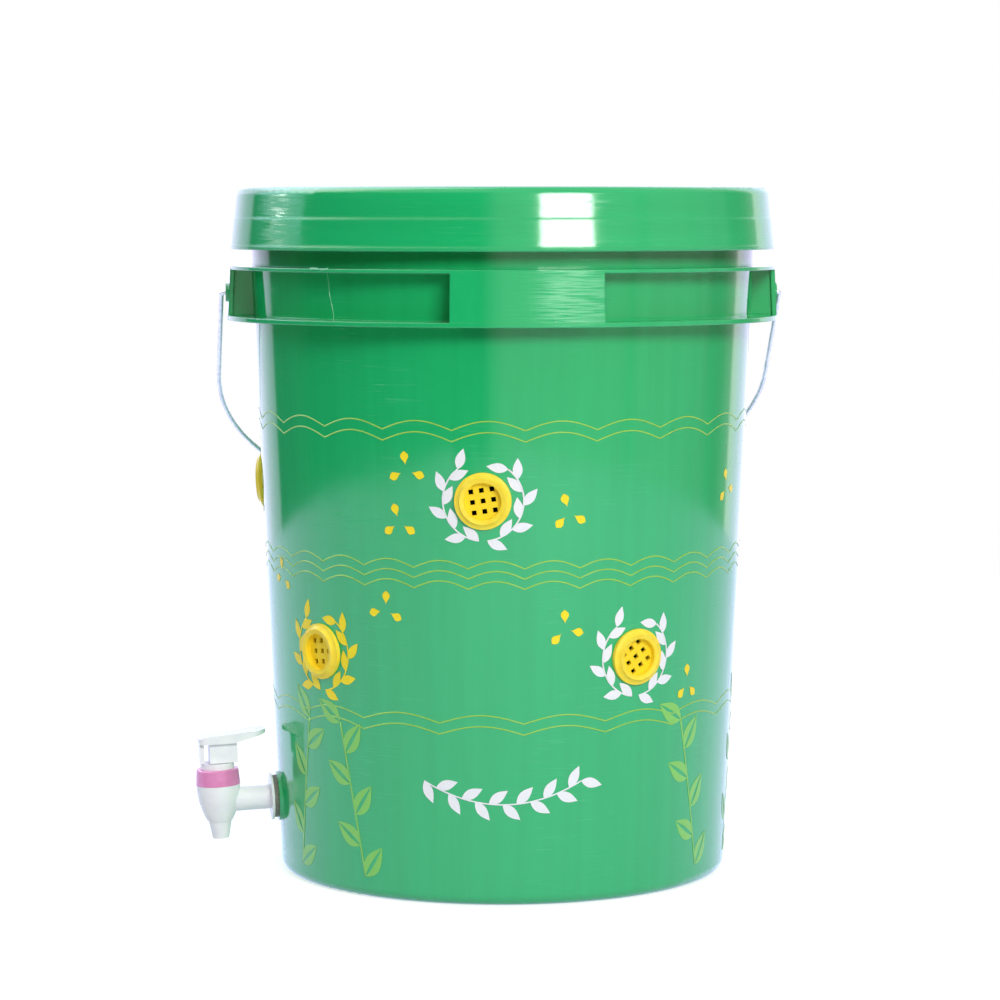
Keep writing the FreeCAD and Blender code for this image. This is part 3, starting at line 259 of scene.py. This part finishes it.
# Screen-print inks: thin opaque films, satin, mottled where the mesh left the ink uneven
inks = {  # two shades and the specular level: the yellow and white inks are flatter than the thin green ones
    "hoop": ("#9BD44A", "#90CC46", 0.5), "white": ("#F7F8FC", "#EDEFF6", 0.3),
    "yellow": ("#FFEA34", "#FFE22A", 0.2), "lime": ("#88D25C", "#7AC854", 0.5),
}
inkLook = {"thickness": 0.03 * mm, "gloss": 0.34, "ior": 1.5,
           "mottle": 1.1 * mm}  # the real mesh is near 0.1 mm, drawn coarser to show
inkMaterials = {}
for name, (base, drift, shine) in inks.items():
    material, tree, shader = startMaterial("screenInk" + name.capitalize(), **{
        "IOR": inkLook["ior"], "Roughness": inkLook["gloss"], "Specular IOR Level": shine})
    place = addNode(tree, "ShaderNodeTexCoord").outputs["Object"]
    mottle = addNode(tree, "ShaderNodeTexNoise", {"Vector": place, "Scale": 1 / inkLook["mottle"],
                     "Detail": 2.0})
    skin = addNode(tree, "ShaderNodeMix", {0: mottle, 6: colour(base), 7: colour(drift)}, data_type="RGBA")
    connect(tree, shader, {"Base Color": skin.outputs[2]})
    inkMaterials[name] = material


def startTree(name, inputs):
    tree = bpy.data.node_groups.new(name, "GeometryNodeTree")
    tree.interface.new_socket("Geometry", in_out="INPUT", socket_type="NodeSocketGeometry")
    for label, kind in inputs:
        tree.interface.new_socket(label, in_out="INPUT", socket_type="NodeSocket" + kind)
    tree.interface.new_socket("Geometry", in_out="OUTPUT", socket_type="NodeSocketGeometry")
    return tree, addNode(tree, "NodeGroupInput").outputs


def endTree(tree, geometry, material):  # every tree ends as plain geometry in its material
    plain = addNode(tree, "GeometryNodeRealizeInstances", {0: geometry})
    dressed = addNode(tree, "GeometryNodeSetMaterial", {"Geometry": plain, "Material": material})
    addNode(tree, "NodeGroupOutput", {0: dressed})


filmInputs = [("Lift", "Float"), ("Thickness", "Float"), ("Foot", "Float"), ("Slope", "Float"),
              ("Reach", "Float"), ("Ink", "Material")]
filmWeld = 0.004 * mm  # closes the film's sides without joining its two faces


def makeFilmTree():  # a flat shape (arc length, height) is thickened, closed and laid round the wall's cone
    tree, given = startTree("inkFilmOnWall", filmInputs)
    rise = addNode(tree, "ShaderNodeCombineXYZ", {"Z": given["Thickness"]})
    top = addNode(tree, "GeometryNodeExtrudeMesh", {"Mesh": given["Geometry"], "Offset": rise,
                  "Offset Scale": 1.0, "Individual": False}, mode="FACES")
    under = addNode(tree, "GeometryNodeFlipFaces", {"Mesh": given["Geometry"]})
    both = addNode(tree, "GeometryNodeJoinGeometry", {0: under})
    connect(tree, both, {0: top})
    place = addNode(tree, "GeometryNodeInputPosition")
    flat = addNode(tree, "ShaderNodeSeparateXYZ", {0: place}).outputs
    turn = addNode(tree, "ShaderNodeMath", {0: flat["X"], 1: given["Reach"]}, operation="DIVIDE")
    growth = addNode(tree, "ShaderNodeMath", {0: flat["Y"], 1: given["Slope"], 2: given["Foot"]},
                     operation="MULTIPLY_ADD")
    lifted = addNode(tree, "ShaderNodeMath", {0: growth, 1: given["Lift"]}, operation="ADD")
    radius = addNode(tree, "ShaderNodeMath", {0: lifted, 1: flat["Z"]}, operation="ADD")
    sine = addNode(tree, "ShaderNodeMath", {0: turn}, operation="SINE")
    cosine = addNode(tree, "ShaderNodeMath", {0: turn}, operation="COSINE")
    across = addNode(tree, "ShaderNodeMath", {0: radius, 1: sine}, operation="MULTIPLY")
    forward = addNode(tree, "ShaderNodeMath", {0: radius, 1: cosine}, operation="MULTIPLY")
    backward = addNode(tree, "ShaderNodeMath", {0: forward, 1: -1.0}, operation="MULTIPLY")
    wrapped = addNode(tree, "ShaderNodeCombineXYZ", {"X": across, "Y": backward, "Z": flat["Y"]})
    laid = addNode(tree, "GeometryNodeSetPosition", {"Geometry": both, "Position": wrapped})
    closed = addNode(tree, "GeometryNodeMergeByDistance", {"Geometry": laid, "Distance": filmWeld})
    endTree(tree, closed, given["Ink"])
    return tree


def makeSprigTree(filmTree):  # leaves stand along each flat stem, left and right in turn, on a ribbon
    tree, given = startTree("leafSprig", [
        ("Leaf Length", "Float"), ("Leaf Width", "Float"), ("Pitch", "Float"), ("Spread", "Float"),
        ("Fullness", "Float"), ("Vein", "Float"), ("Stem Width", "Float")] + filmInputs)
    stems = addNode(tree, "GeometryNodeMeshToCurve", {"Mesh": given["Geometry"]})
    half = addNode(tree, "ShaderNodeMath", {0: given["Stem Width"], 1: 0.5}, operation="MULTIPLY")
    minusHalf = addNode(tree, "ShaderNodeMath", {0: half, 1: -1.0}, operation="MULTIPLY")
    left = addNode(tree, "ShaderNodeCombineXYZ", {"X": minusHalf})
    right = addNode(tree, "ShaderNodeCombineXYZ", {"X": half})
    section = addNode(tree, "GeometryNodeCurvePrimitiveLine", {"Start": left, "End": right})
    level = addNode(tree, "GeometryNodeSetCurveNormal", {"Curve": stems}, mode="Z_UP")
    ribbon = addNode(tree, "GeometryNodeCurveToMesh", {"Curve": level, "Profile Curve": section})
    # where the leaves stand and which way they turn
    buds = addNode(tree, "GeometryNodeCurveToPoints", {"Curve": stems, "Length": given["Pitch"]},
                   mode="LENGTH")
    way = addNode(tree, "ShaderNodeSeparateXYZ", {0: buds.outputs["Tangent"]}).outputs
    heading = addNode(tree, "ShaderNodeMath", {0: way["Y"], 1: way["X"]}, operation="ARCTAN2")
    count = addNode(tree, "GeometryNodeInputIndex")
    odd = addNode(tree, "ShaderNodeMath", {0: count, 1: 2.0}, operation="FLOORED_MODULO")
    side = addNode(tree, "ShaderNodeMapRange", {"Value": odd, 3: -1.0, 4: 1.0})
    lean = addNode(tree, "ShaderNodeMath", {0: side, 1: given["Spread"], 2: heading},
                   operation="MULTIPLY_ADD")
    facing = addNode(tree, "ShaderNodeCombineXYZ", {"Z": lean})
    # one leaf: a grid drawn in to a point at both ends, parted along its vein
    blade = addNode(tree, "GeometryNodeMeshGrid", {"Size X": 1.0, "Size Y": 1.0, "Vertices X": 11,
                    "Vertices Y": 6})
    place = addNode(tree, "GeometryNodeInputPosition")
    spot = addNode(tree, "ShaderNodeSeparateXYZ", {0: place}).outputs
    along = addNode(tree, "ShaderNodeMath", {0: spot["X"], 1: 0.5}, operation="ADD", use_clamp=True)
    eased = addNode(tree, "ShaderNodeMath", {0: along, 1: given["Fullness"]}, operation="POWER")
    angle = addNode(tree, "ShaderNodeMath", {0: eased, 1: math.pi}, operation="MULTIPLY")
    arch = addNode(tree, "ShaderNodeMath", {0: angle}, operation="SINE")
    girth = addNode(tree, "ShaderNodeMath", {0: arch, 1: given["Leaf Width"]}, operation="MULTIPLY")
    outward = addNode(tree, "ShaderNodeMath", {0: spot["Y"], 1: girth}, operation="MULTIPLY")
    tip = addNode(tree, "ShaderNodeMath", {0: along, 1: given["Leaf Length"]}, operation="MULTIPLY")
    shape = addNode(tree, "ShaderNodeCombineXYZ", {"X": tip, "Y": outward})
    offVein = addNode(tree, "ShaderNodeMath", {0: spot["Y"]}, operation="ABSOLUTE")
    middle = addNode(tree, "FunctionNodeCompare", {0: offVein, 1: given["Vein"]}, operation="LESS_THAN")
    veined = addNode(tree, "GeometryNodeDeleteGeometry", {"Geometry": blade, "Selection": middle},
                     domain="FACE")
    leaf = addNode(tree, "GeometryNodeSetPosition", {"Geometry": veined, "Position": shape})
    leaves = addNode(tree, "GeometryNodeInstanceOnPoints", {"Points": buds, "Instance": leaf,
                     "Rotation": facing})
    together = addNode(tree, "GeometryNodeJoinGeometry", {0: ribbon})
    connect(tree, together, {0: leaves})
    plain = addNode(tree, "GeometryNodeRealizeInstances", {0: together})
    film = addNode(tree, "GeometryNodeGroup", node_tree=filmTree)
    connect(tree, film, {"Geometry": plain})
    connect(tree, film, {label: given[label] for label, kind in filmInputs})
    endTree(tree, film, given["Ink"])
    return tree


def meshPiece(name, tree, runs, values):  # runs of points become one plain mesh
    points, edges = [], []
    for run in runs:
        first = len(points)
        points += run
        edges += [(i, i + 1) for i in range(first, len(points) - 1)]
    carrierMesh = bpy.data.meshes.new(name + "Runs")
    carrierMesh.from_pydata(points, edges, [])
    carrier = bpy.data.objects.new(name + "Runs", carrierMesh)
    scene.collection.objects.link(carrier)
    modifier = carrier.modifiers.new("nodes", "NODES")
    modifier.node_group = tree
    for item in tree.interface.items_tree:
        if item.in_out == "INPUT" and item.name in values:
            modifier[item.identifier] = values[item.name]
    evaluated = carrier.evaluated_get(bpy.context.evaluated_depsgraph_get())
    mesh = bpy.data.meshes.new_from_object(evaluated)
    carrier.modifiers.remove(modifier)
    bpy.data.objects.remove(carrier)
    piece = bpy.data.objects.new(name, mesh)
    scene.collection.objects.link(piece)
    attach(piece, "bin")
    print("piece:", name, len(mesh.polygons), "faces")
    return piece


sprigTree = makeSprigTree(makeFilmTree())


def printPiece(name, stems, leaf, ink):  # flat stems in millimetres (arc length, height)
    runs = [[(x * mm, y * mm, 0.0) for x, y in stem] for stem in stems]
    onCone = {"Foot": wall["foot"], "Slope": wall["slope"], "Reach": wall["reach"],
              "Thickness": inkLook["thickness"], "Ink": inkMaterials[ink]}
    meshPiece(name, sprigTree, runs, dict(leaf, **onCone))


def onWall(azimuth):  # arc length in millimetres on the flat print
    return math.radians(azimuth) * wall["reach"] / mm


def arc(x, y, radius, start, end, steps=20):  # degrees from the top, clockwise
    turns = [math.radians(start + (end - start) * i / steps) for i in range(steps + 1)]
    return [(x + radius * math.sin(t), y + radius * math.cos(t)) for t in turns]


def bend(start, pull, end, steps=14):  # a curve that leaves and arrives in line with the pull
    ways = [i / steps for i in range(steps + 1)]
    return [tuple((1 - t) ** 2 * a + 2 * t * (1 - t) * b + t * t * c for a, b, c in zip(start, pull, end))
            for t in ways]


# Wreaths: two leafy arcs round each vent, in millimetres and degrees, parted at the foot and open at the top
wreath = {"radius": 21.5, "open": 38.0, "parting": 6.0}
wreathLeaf = {"Leaf Length": 11.5 * mm, "Leaf Width": 5.2 * mm, "Pitch": 6.4 * mm, "Spread": math.radians(33),
              "Fullness": 0.85, "Vein": -1.0, "Stem Width": 0.9 * mm}
wreaths = {"white": [], "yellow": []}
for azimuth, height, ink in vents.values():
    for hand in (-1, 1):
        foot, top = hand * (180 - wreath["parting"]), hand * wreath["open"]
        wreaths[ink].append(arc(onWall(azimuth), height, wreath["radius"], foot, top))
printPiece("printWhiteWreaths", wreaths["white"], dict(wreathLeaf, Lift=0.09 * mm), "white")
printPiece("printYellowWreaths", wreaths["yellow"], dict(wreathLeaf, Lift=0.10 * mm), "yellow")

# Lime sprigs: tall stems from the foot, each with its place in degrees and how far it leans
sprigs = {"low": 12, "bent": 52, "high": 96, "topLean": 2.2,
          "places": ((-66, 3), (-41, -3), (52, -4), (74, 3), (133, 4), (150, -3), (-118, -4))}
sprigLeaf = {"Leaf Length": 21 * mm, "Leaf Width": 11 * mm, "Pitch": 15 * mm, "Spread": math.radians(46),
             "Fullness": 0.78, "Vein": 0.02, "Stem Width": 1.3 * mm, "Lift": 0.06 * mm}
limeStems = [bend((onWall(a), sprigs["low"]), (onWall(a + lean), sprigs["bent"]),
                  (onWall(a + sprigs["topLean"] * lean), sprigs["high"])) for a, lean in sprigs["places"]]
printPiece("printLimeSprigs", limeStems, sprigLeaf, "lime")

# Garlands: one leafy swag in front and one behind
garland = {"middles": (-5, 181), "reach": 19, "ends": 68, "sag": 44, "steps": 24}
garlandLeaf = {"Leaf Length": 13 * mm, "Leaf Width": 5.6 * mm, "Pitch": 7.6 * mm, "Spread": math.radians(40),
               "Fullness": 0.85, "Vein": -1.0, "Stem Width": 0.8 * mm, "Lift": 0.09 * mm}
swags = [bend((onWall(a - garland["reach"]), garland["ends"]), (onWall(a), garland["sag"]),
              (onWall(a + garland["reach"]), garland["ends"]), garland["steps"]) for a in garland["middles"]]
printPiece("printWhiteGarlands", swags, garlandLeaf, "white")

# Drops: loose threes, each drop a leaf on a stub of stem
random.seed(7)
drop = {"ring": 3.4, "stub": 0.4, "each": 3, "astray": 20.0,
        "places": ((-27, 236), (-29, 208), (10, 214), (9.5, 151), (45, 116), (-70, 172), (-33, 160),
                   (90, 230), (140, 222), (-160, 226), (-125, 206), (60, 222))}
dropLeaf = {"Leaf Length": 7.2 * mm, "Leaf Width": 4.6 * mm, "Pitch": 5 * mm, "Spread": 0.0, "Fullness": 1.5,
            "Vein": -1.0, "Stem Width": 0.3 * mm, "Lift": 0.10 * mm}
stubs = []
for azimuth, height in drop["places"]:
    for i in range(drop["each"]):
        t = math.radians(360 / drop["each"] * i + random.uniform(-drop["astray"], drop["astray"]))
        reaches = (drop["ring"], drop["ring"] + drop["stub"])
        stubs.append([(onWall(azimuth) + r * math.sin(t), height + r * math.cos(t)) for r in reaches])
printPiece("printYellowDrops", stubs, dropLeaf, "yellow")

# Hoop lines: scalloped hairlines with no leaves that run right round the bin, so their ends meet behind
hoops = {"steps": 1008,  # then height, dip and number of scallops of each line
         "lines": ((258, 5.0, 22), (252, 5.0, 22), (184, 4.2, 28), (178.5, 4.2, 28), (173, 4.2, 28),
                   (100, 4.6, 18), (94, 4.6, 18))}
hoopLeaf = {"Leaf Length": 0.1 * mm, "Leaf Width": 0.1 * mm, "Pitch": 4000 * mm, "Spread": 0.0,
            "Fullness": 1.0, "Vein": 1.0, "Stem Width": 0.72 * mm, "Lift": 0.03 * mm}
hoopWays = [i / hoops["steps"] for i in range(hoops["steps"] + 1)]
hoopLines = [[(onWall(360 * (t - 0.5)), height + dip * abs(math.sin(math.pi * scallops * t)))
              for t in hoopWays] for height, dip, scallops in hoops["lines"]]
printPiece("printHoopLines", hoopLines, hoopLeaf, "hoop")

# Mould flash: a thin seam of plastic down the wall between the flanges and a ragged bead on the upper edge
flash = {"azimuth": -46.6, "turn": 1.6, "low": 315.7, "high": 341.3, "sway": 0.12, "swayPace": 9.0,
         "steps": 24, "parting": 341.5,  # height in millimetres that tells the seam from the bead
         "edgeRadius": 154.7, "edgeHeight": 343.2, "edgeTurn": 4.6, "edgeLift": 0.2, "liftPace": 7.0,
         "seam": 0.28 * mm, "bead": 0.75 * mm, "sides": 8,
         "ragged": 1.8 * mm, "lumpLow": 0.3, "lumpHigh": 0.7, "thinnest": 0.35, "thickest": 1.3}


def makeFlashTree():
    tree, given = startTree("mouldFlash", [("Seam", "Float"), ("Bead", "Float"), ("Ragged", "Float"),
                            ("Parting", "Float"), ("Skin", "Material")])
    runs = addNode(tree, "GeometryNodeMeshToCurve", {"Mesh": given["Geometry"]})
    spot = addNode(tree, "GeometryNodeInputPosition")
    height = addNode(tree, "ShaderNodeSeparateXYZ", {0: spot}).outputs["Z"]
    onEdge = addNode(tree, "ShaderNodeMath", {0: height, 1: given["Parting"]}, operation="GREATER_THAN")
    finest = addNode(tree, "ShaderNodeMath", {0: 1.0, 1: given["Ragged"]}, operation="DIVIDE")
    lumps = addNode(tree, "ShaderNodeTexNoise", {"Vector": spot, "Scale": finest, "Detail": 2.0})
    lumpy = addNode(tree, "ShaderNodeMapRange", {"Value": lumps, 1: flash["lumpLow"], 2: flash["lumpHigh"],
                    3: flash["thinnest"], 4: flash["thickest"]})
    thick = addNode(tree, "ShaderNodeMix", {0: onEdge, 2: given["Seam"], 3: given["Bead"]})
    girth = addNode(tree, "ShaderNodeMath", {0: thick, 1: lumpy}, operation="MULTIPLY")
    section = addNode(tree, "GeometryNodeCurvePrimitiveCircle", {"Resolution": flash["sides"], "Radius": 1.0})
    tube = addNode(tree, "GeometryNodeCurveToMesh", {"Curve": runs, "Profile Curve": section, "Scale": girth,
                   "Fill Caps": True})
    endTree(tree, tube, given["Skin"])
    return tree


seam, bead = [], []
for i in range(flash["steps"] + 1):
    t = i / flash["steps"]
    z = flash["low"] + (flash["high"] - flash["low"]) * t
    sway = flash["sway"] * math.sin(flash["swayPace"] * t)
    seam.append(around(flash["azimuth"] + flash["turn"] * (1 - t) + sway,
                       wall["foot"] + wall["slope"] * z * mm, z * mm))
    lift = flash["edgeLift"] * math.sin(flash["liftPace"] * t)
    bead.append(around(flash["azimuth"] + flash["edgeTurn"] * t, flash["edgeRadius"] * mm,
                       (flash["edgeHeight"] + lift) * mm))
# the flash's paler skin is a painted highlight
meshPiece("mouldFlash", makeFlashTree(), [seam, bead], {
    "Seam": flash["seam"], "Bead": flash["bead"], "Ragged": flash["ragged"],
    "Parting": flash["parting"] * mm, "Skin": bpy.data.materials["flashPaintedHighlight"]})

# Valve spring: the solid's own helix rebuilt as a piece of the scene
coil = {"radius": 4.2 * mm, "wire": 0.4 * mm, "turns": 5, "stepsPerTurn": 40, "sides": 12,
        "tapAzimuth": -85.0}


def makeSpringTree():
    tree, given = startTree("springWire", [("Wire", "Float"), ("Steel", "Material")])
    runs = addNode(tree, "GeometryNodeMeshToCurve", {"Mesh": given["Geometry"]})
    section = addNode(tree, "GeometryNodeCurvePrimitiveCircle", {"Resolution": coil["sides"],
                      "Radius": given["Wire"]})
    tube = addNode(tree, "GeometryNodeCurveToMesh", {"Curve": runs, "Profile Curve": section,
                   "Fill Caps": True})
    endTree(tree, tube, given["Steel"])
    return tree


stemWay = Vector(joints["stem_lift"]["axis"])
pin = Vector(joints["lever_press"]["pos_m"])  # the lever's pin lies on the stem's line
heights = [(vertex.co - pin).dot(stemWay) for vertex in nodes["tap_spring"].data.vertices]
low, high = min(heights), max(heights)
sideways = stemWay.cross(around(coil["tapAzimuth"], 1.0, 0.0)).normalized()
outward = sideways.cross(stemWay)
helix = []
coilSteps = coil["turns"] * coil["stepsPerTurn"]
for i in range(coilSteps + 1):
    turn = 2 * math.pi * coil["turns"] * i / coilSteps
    climb = low + coil["wire"] + (high - low - 2 * coil["wire"]) * i / coilSteps
    across = coil["radius"] * (outward * math.cos(turn) + sideways * math.sin(turn))
    helix.append(pin + stemWay * climb + across)
spring = meshPiece("valveSpring", makeSpringTree(), [helix],
                   {"Wire": coil["wire"], "Steel": bpy.data.materials["stainlessWire"]})
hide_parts("tap_spring")
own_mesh(spring)

# Studio: the glossy skin mirrors a bright backdrop behind, a dark room at left and pale panels at right
studio = {
    "mirrored": [  # bearing in degrees from the front to the right, strength
        (-180, 2.2), (-156, 2.2), (-143, 1.6), (-139.5, 1.5), (-136.5, 0.12), (-112, 0.12), (-104, 0.05),
        (-14, 0.05), (-5, 1.2), (50, 1.2), (57, 0.8), (59, 1.2), (79, 1.1), (81, 0.85), (83, 1.0), (92, 0.9),
        (94, 0.7), (97, 0.8), (103, 0.65), (107, 0.4), (114, 0.35), (119, 0.45), (124, 0.7), (128.3, 0.9),
        (130, 2.3), (140, 2.4), (180, 2.2)],
    "ceiling": [(-180, 3.0), (-150, 6.5), (-95, 6.5), (-70, 2.0), (0, 1.2), (120, 1.2), (180, 3.0)],
    "ceilingFrom": 0.32, "ceilingTo": 0.55,  # sines of the elevation
    "backdropTint": "#E2DCFF", "panelTint": "#FFFAFC", "backdropFrom": 130.0,
    "fill": 0.09, "fillRise": 0.76,  # what lights matt surfaces grows with the height it comes from
}


def rayKinds(tree):  # camera rays, and rays that a surface mirrors or lets through
    path = addNode(tree, "ShaderNodeLightPath").outputs
    mirrored = addNode(tree, "ShaderNodeMath", {0: path["Is Glossy Ray"], 1: path["Is Transmission Ray"]},
                       operation="MAXIMUM")
    return path["Is Camera Ray"], mirrored


def makeWorld():
    world = bpy.data.worlds.new("studio")
    scene.world = world
    world.use_nodes = True
    tree = world.node_tree
    tree.nodes.clear()
    look = addNode(tree, "ShaderNodeTexCoord").outputs["Generated"]
    axes = addNode(tree, "ShaderNodeSeparateXYZ", {0: look}).outputs
    front = addNode(tree, "ShaderNodeMath", {0: axes["Y"], 1: -1.0}, operation="MULTIPLY")
    bearing = addNode(tree, "ShaderNodeMath", {0: axes["X"], 1: front}, operation="ARCTAN2")
    turn = addNode(tree, "ShaderNodeMath", {0: bearing, 1: 1 / (2 * math.pi), 2: 0.5},
                   operation="MULTIPLY_ADD")
    ramps = {}
    for part in ("mirrored", "ceiling"):
        ramps[part] = addNode(tree, "ShaderNodeValToRGB", {0: turn})
        elements = ramps[part].color_ramp.elements
        while len(elements) < len(studio[part]):
            elements.new(0.5)
        for element, (place, strength) in zip(elements, studio[part]):
            tint = colour(studio["backdropTint" if abs(place) > studio["backdropFrom"] else "panelTint"])
            element.position = place / 360 + 0.5
            element.color = tuple(strength * c for c in tint[:3]) + (1.0,)
    overhead = addNode(tree, "ShaderNodeMapRange", {"Value": axes["Z"], 1: studio["ceilingFrom"],
                       2: studio["ceilingTo"]})
    room = addNode(tree, "ShaderNodeMix", {0: overhead, 6: ramps["mirrored"], 7: ramps["ceiling"]},
                   data_type="RGBA")
    camera, mirrored = rayKinds(tree)
    shown = addNode(tree, "ShaderNodeMix", {0: camera, 6: room.outputs[2], 7: white}, data_type="RGBA")
    scenery = addNode(tree, "ShaderNodeBackground", {"Color": shown.outputs[2], "Strength": 1.0})
    above = addNode(tree, "ShaderNodeMath", {0: axes["Z"], 1: 0.0}, operation="MAXIMUM")
    raised = addNode(tree, "ShaderNodeMath", {0: above, 1: studio["fillRise"], 2: studio["fill"]},
                     operation="MULTIPLY_ADD")
    fill = addNode(tree, "ShaderNodeBackground", {"Color": white, "Strength": raised})
    seen = addNode(tree, "ShaderNodeMath", {0: mirrored, 1: camera}, operation="MAXIMUM")
    mixed = addNode(tree, "ShaderNodeMixShader", {0: seen, 1: fill, 2: scenery})
    addNode(tree, "ShaderNodeOutputWorld", {"Surface": mixed})


makeWorld()

lamps = {  # bearing, distance, height, width and height of the face, watts, colour, what it does
    "softbox": (21.0, 2.0, 0.75, 0.76, 0.30, 22.5, "#FFFFFF", "mirrored"),
    "key": (16.0, 2.0, 1.15, 0.90, 0.60, 28.0, "#FFFFFF", "lights"),
    "leftPanel": (-115.0, 2.05, 1.01, 1.45, 0.84, 13.0, "#C6E6FF", "both"),
    "leftStrip": (-111.0, 2.0, 0.594, 0.41, 0.012, 0.6, "#FFFFFF", "mirrored"),
}
highestAim = 0.75
for name, (bearing, distance, height, width, tall, watts, tint, use) in lamps.items():
    light = bpy.data.lights.new(name, "AREA")
    light.shape = "RECTANGLE"
    light.size, light.size_y, light.energy = width, tall, watts
    light.color = colour(tint)[:3]
    lamp = bpy.data.objects.new(name, light)
    lamp.location = around(bearing, distance, height)
    lamp.visible_diffuse, lamp.visible_glossy = use != "mirrored", use != "lights"
    aim = Vector((0.0, 0.0, min(height, highestAim))) - lamp.location
    lamp.rotation_euler = aim.to_track_quat("-Z", "Y").to_euler()
    scene.collection.objects.link(lamp)

# Table: matt white laminate that keeps the shadow, lifted to white for the camera and bluish where mirrored
tabletop = {"radius": 1.6, "below": 0.2 * mm, "steps": 96, "colour": 0.64, "roughness": 0.9, "lift": 0.66,
            "mirrored": 1.5, "mirroredTint": "#C8CCFF"}
rim = [around(360 * i / tabletop["steps"], tabletop["radius"], -tabletop["below"])
       for i in range(tabletop["steps"])]
tableMesh = bpy.data.meshes.new("table")
tableMesh.from_pydata(rim, [], [list(range(tabletop["steps"]))])
table = bpy.data.objects.new("table", tableMesh)
scene.collection.objects.link(table)
material, tree, shader = startMaterial("whiteTable", Roughness=tabletop["roughness"])
camera, mirrored = rayKinds(tree)
lifted = addNode(tree, "ShaderNodeMath", {0: camera, 1: tabletop["lift"]}, operation="MULTIPLY")
glow = addNode(tree, "ShaderNodeMath", {0: mirrored, 1: tabletop["mirrored"], 2: lifted},
               operation="MULTIPLY_ADD")
tint = addNode(tree, "ShaderNodeMix", {0: mirrored, 6: white, 7: colour(tabletop["mirroredTint"])},
               data_type="RGBA")
connect(tree, shader, {"Base Color": (tabletop["colour"],) * 3 + (1.0,), "Emission Color": tint.outputs[2],
                       "Emission Strength": glow})
table.data.materials.append(material)

view = {"azimuth": -5.05, "elevation": math.radians(4.9), "distance": 1.94, "aim": (0.0, 0.0, 0.2094),
        "lens": 122.2, "sensor": 36.0, "shift": -0.0025}
lens = bpy.data.cameras.new("photoCamera")
lens.lens, lens.sensor_width, lens.shift_x = view["lens"], view["sensor"], view["shift"]
photoCamera = bpy.data.objects.new("photoCamera", lens)
back = around(view["azimuth"], math.cos(view["elevation"]), math.sin(view["elevation"]))
photoCamera.location = Vector(view["aim"]) + back * view["distance"]
photoCamera.rotation_euler = (-back).to_track_quat("-Z", "Y").to_euler()
scene.collection.objects.link(photoCamera)
scene.camera = photoCamera
scene.view_settings.view_transform = "Standard"
print("studio: camera,", len(lamps), "lamps, world and table set")
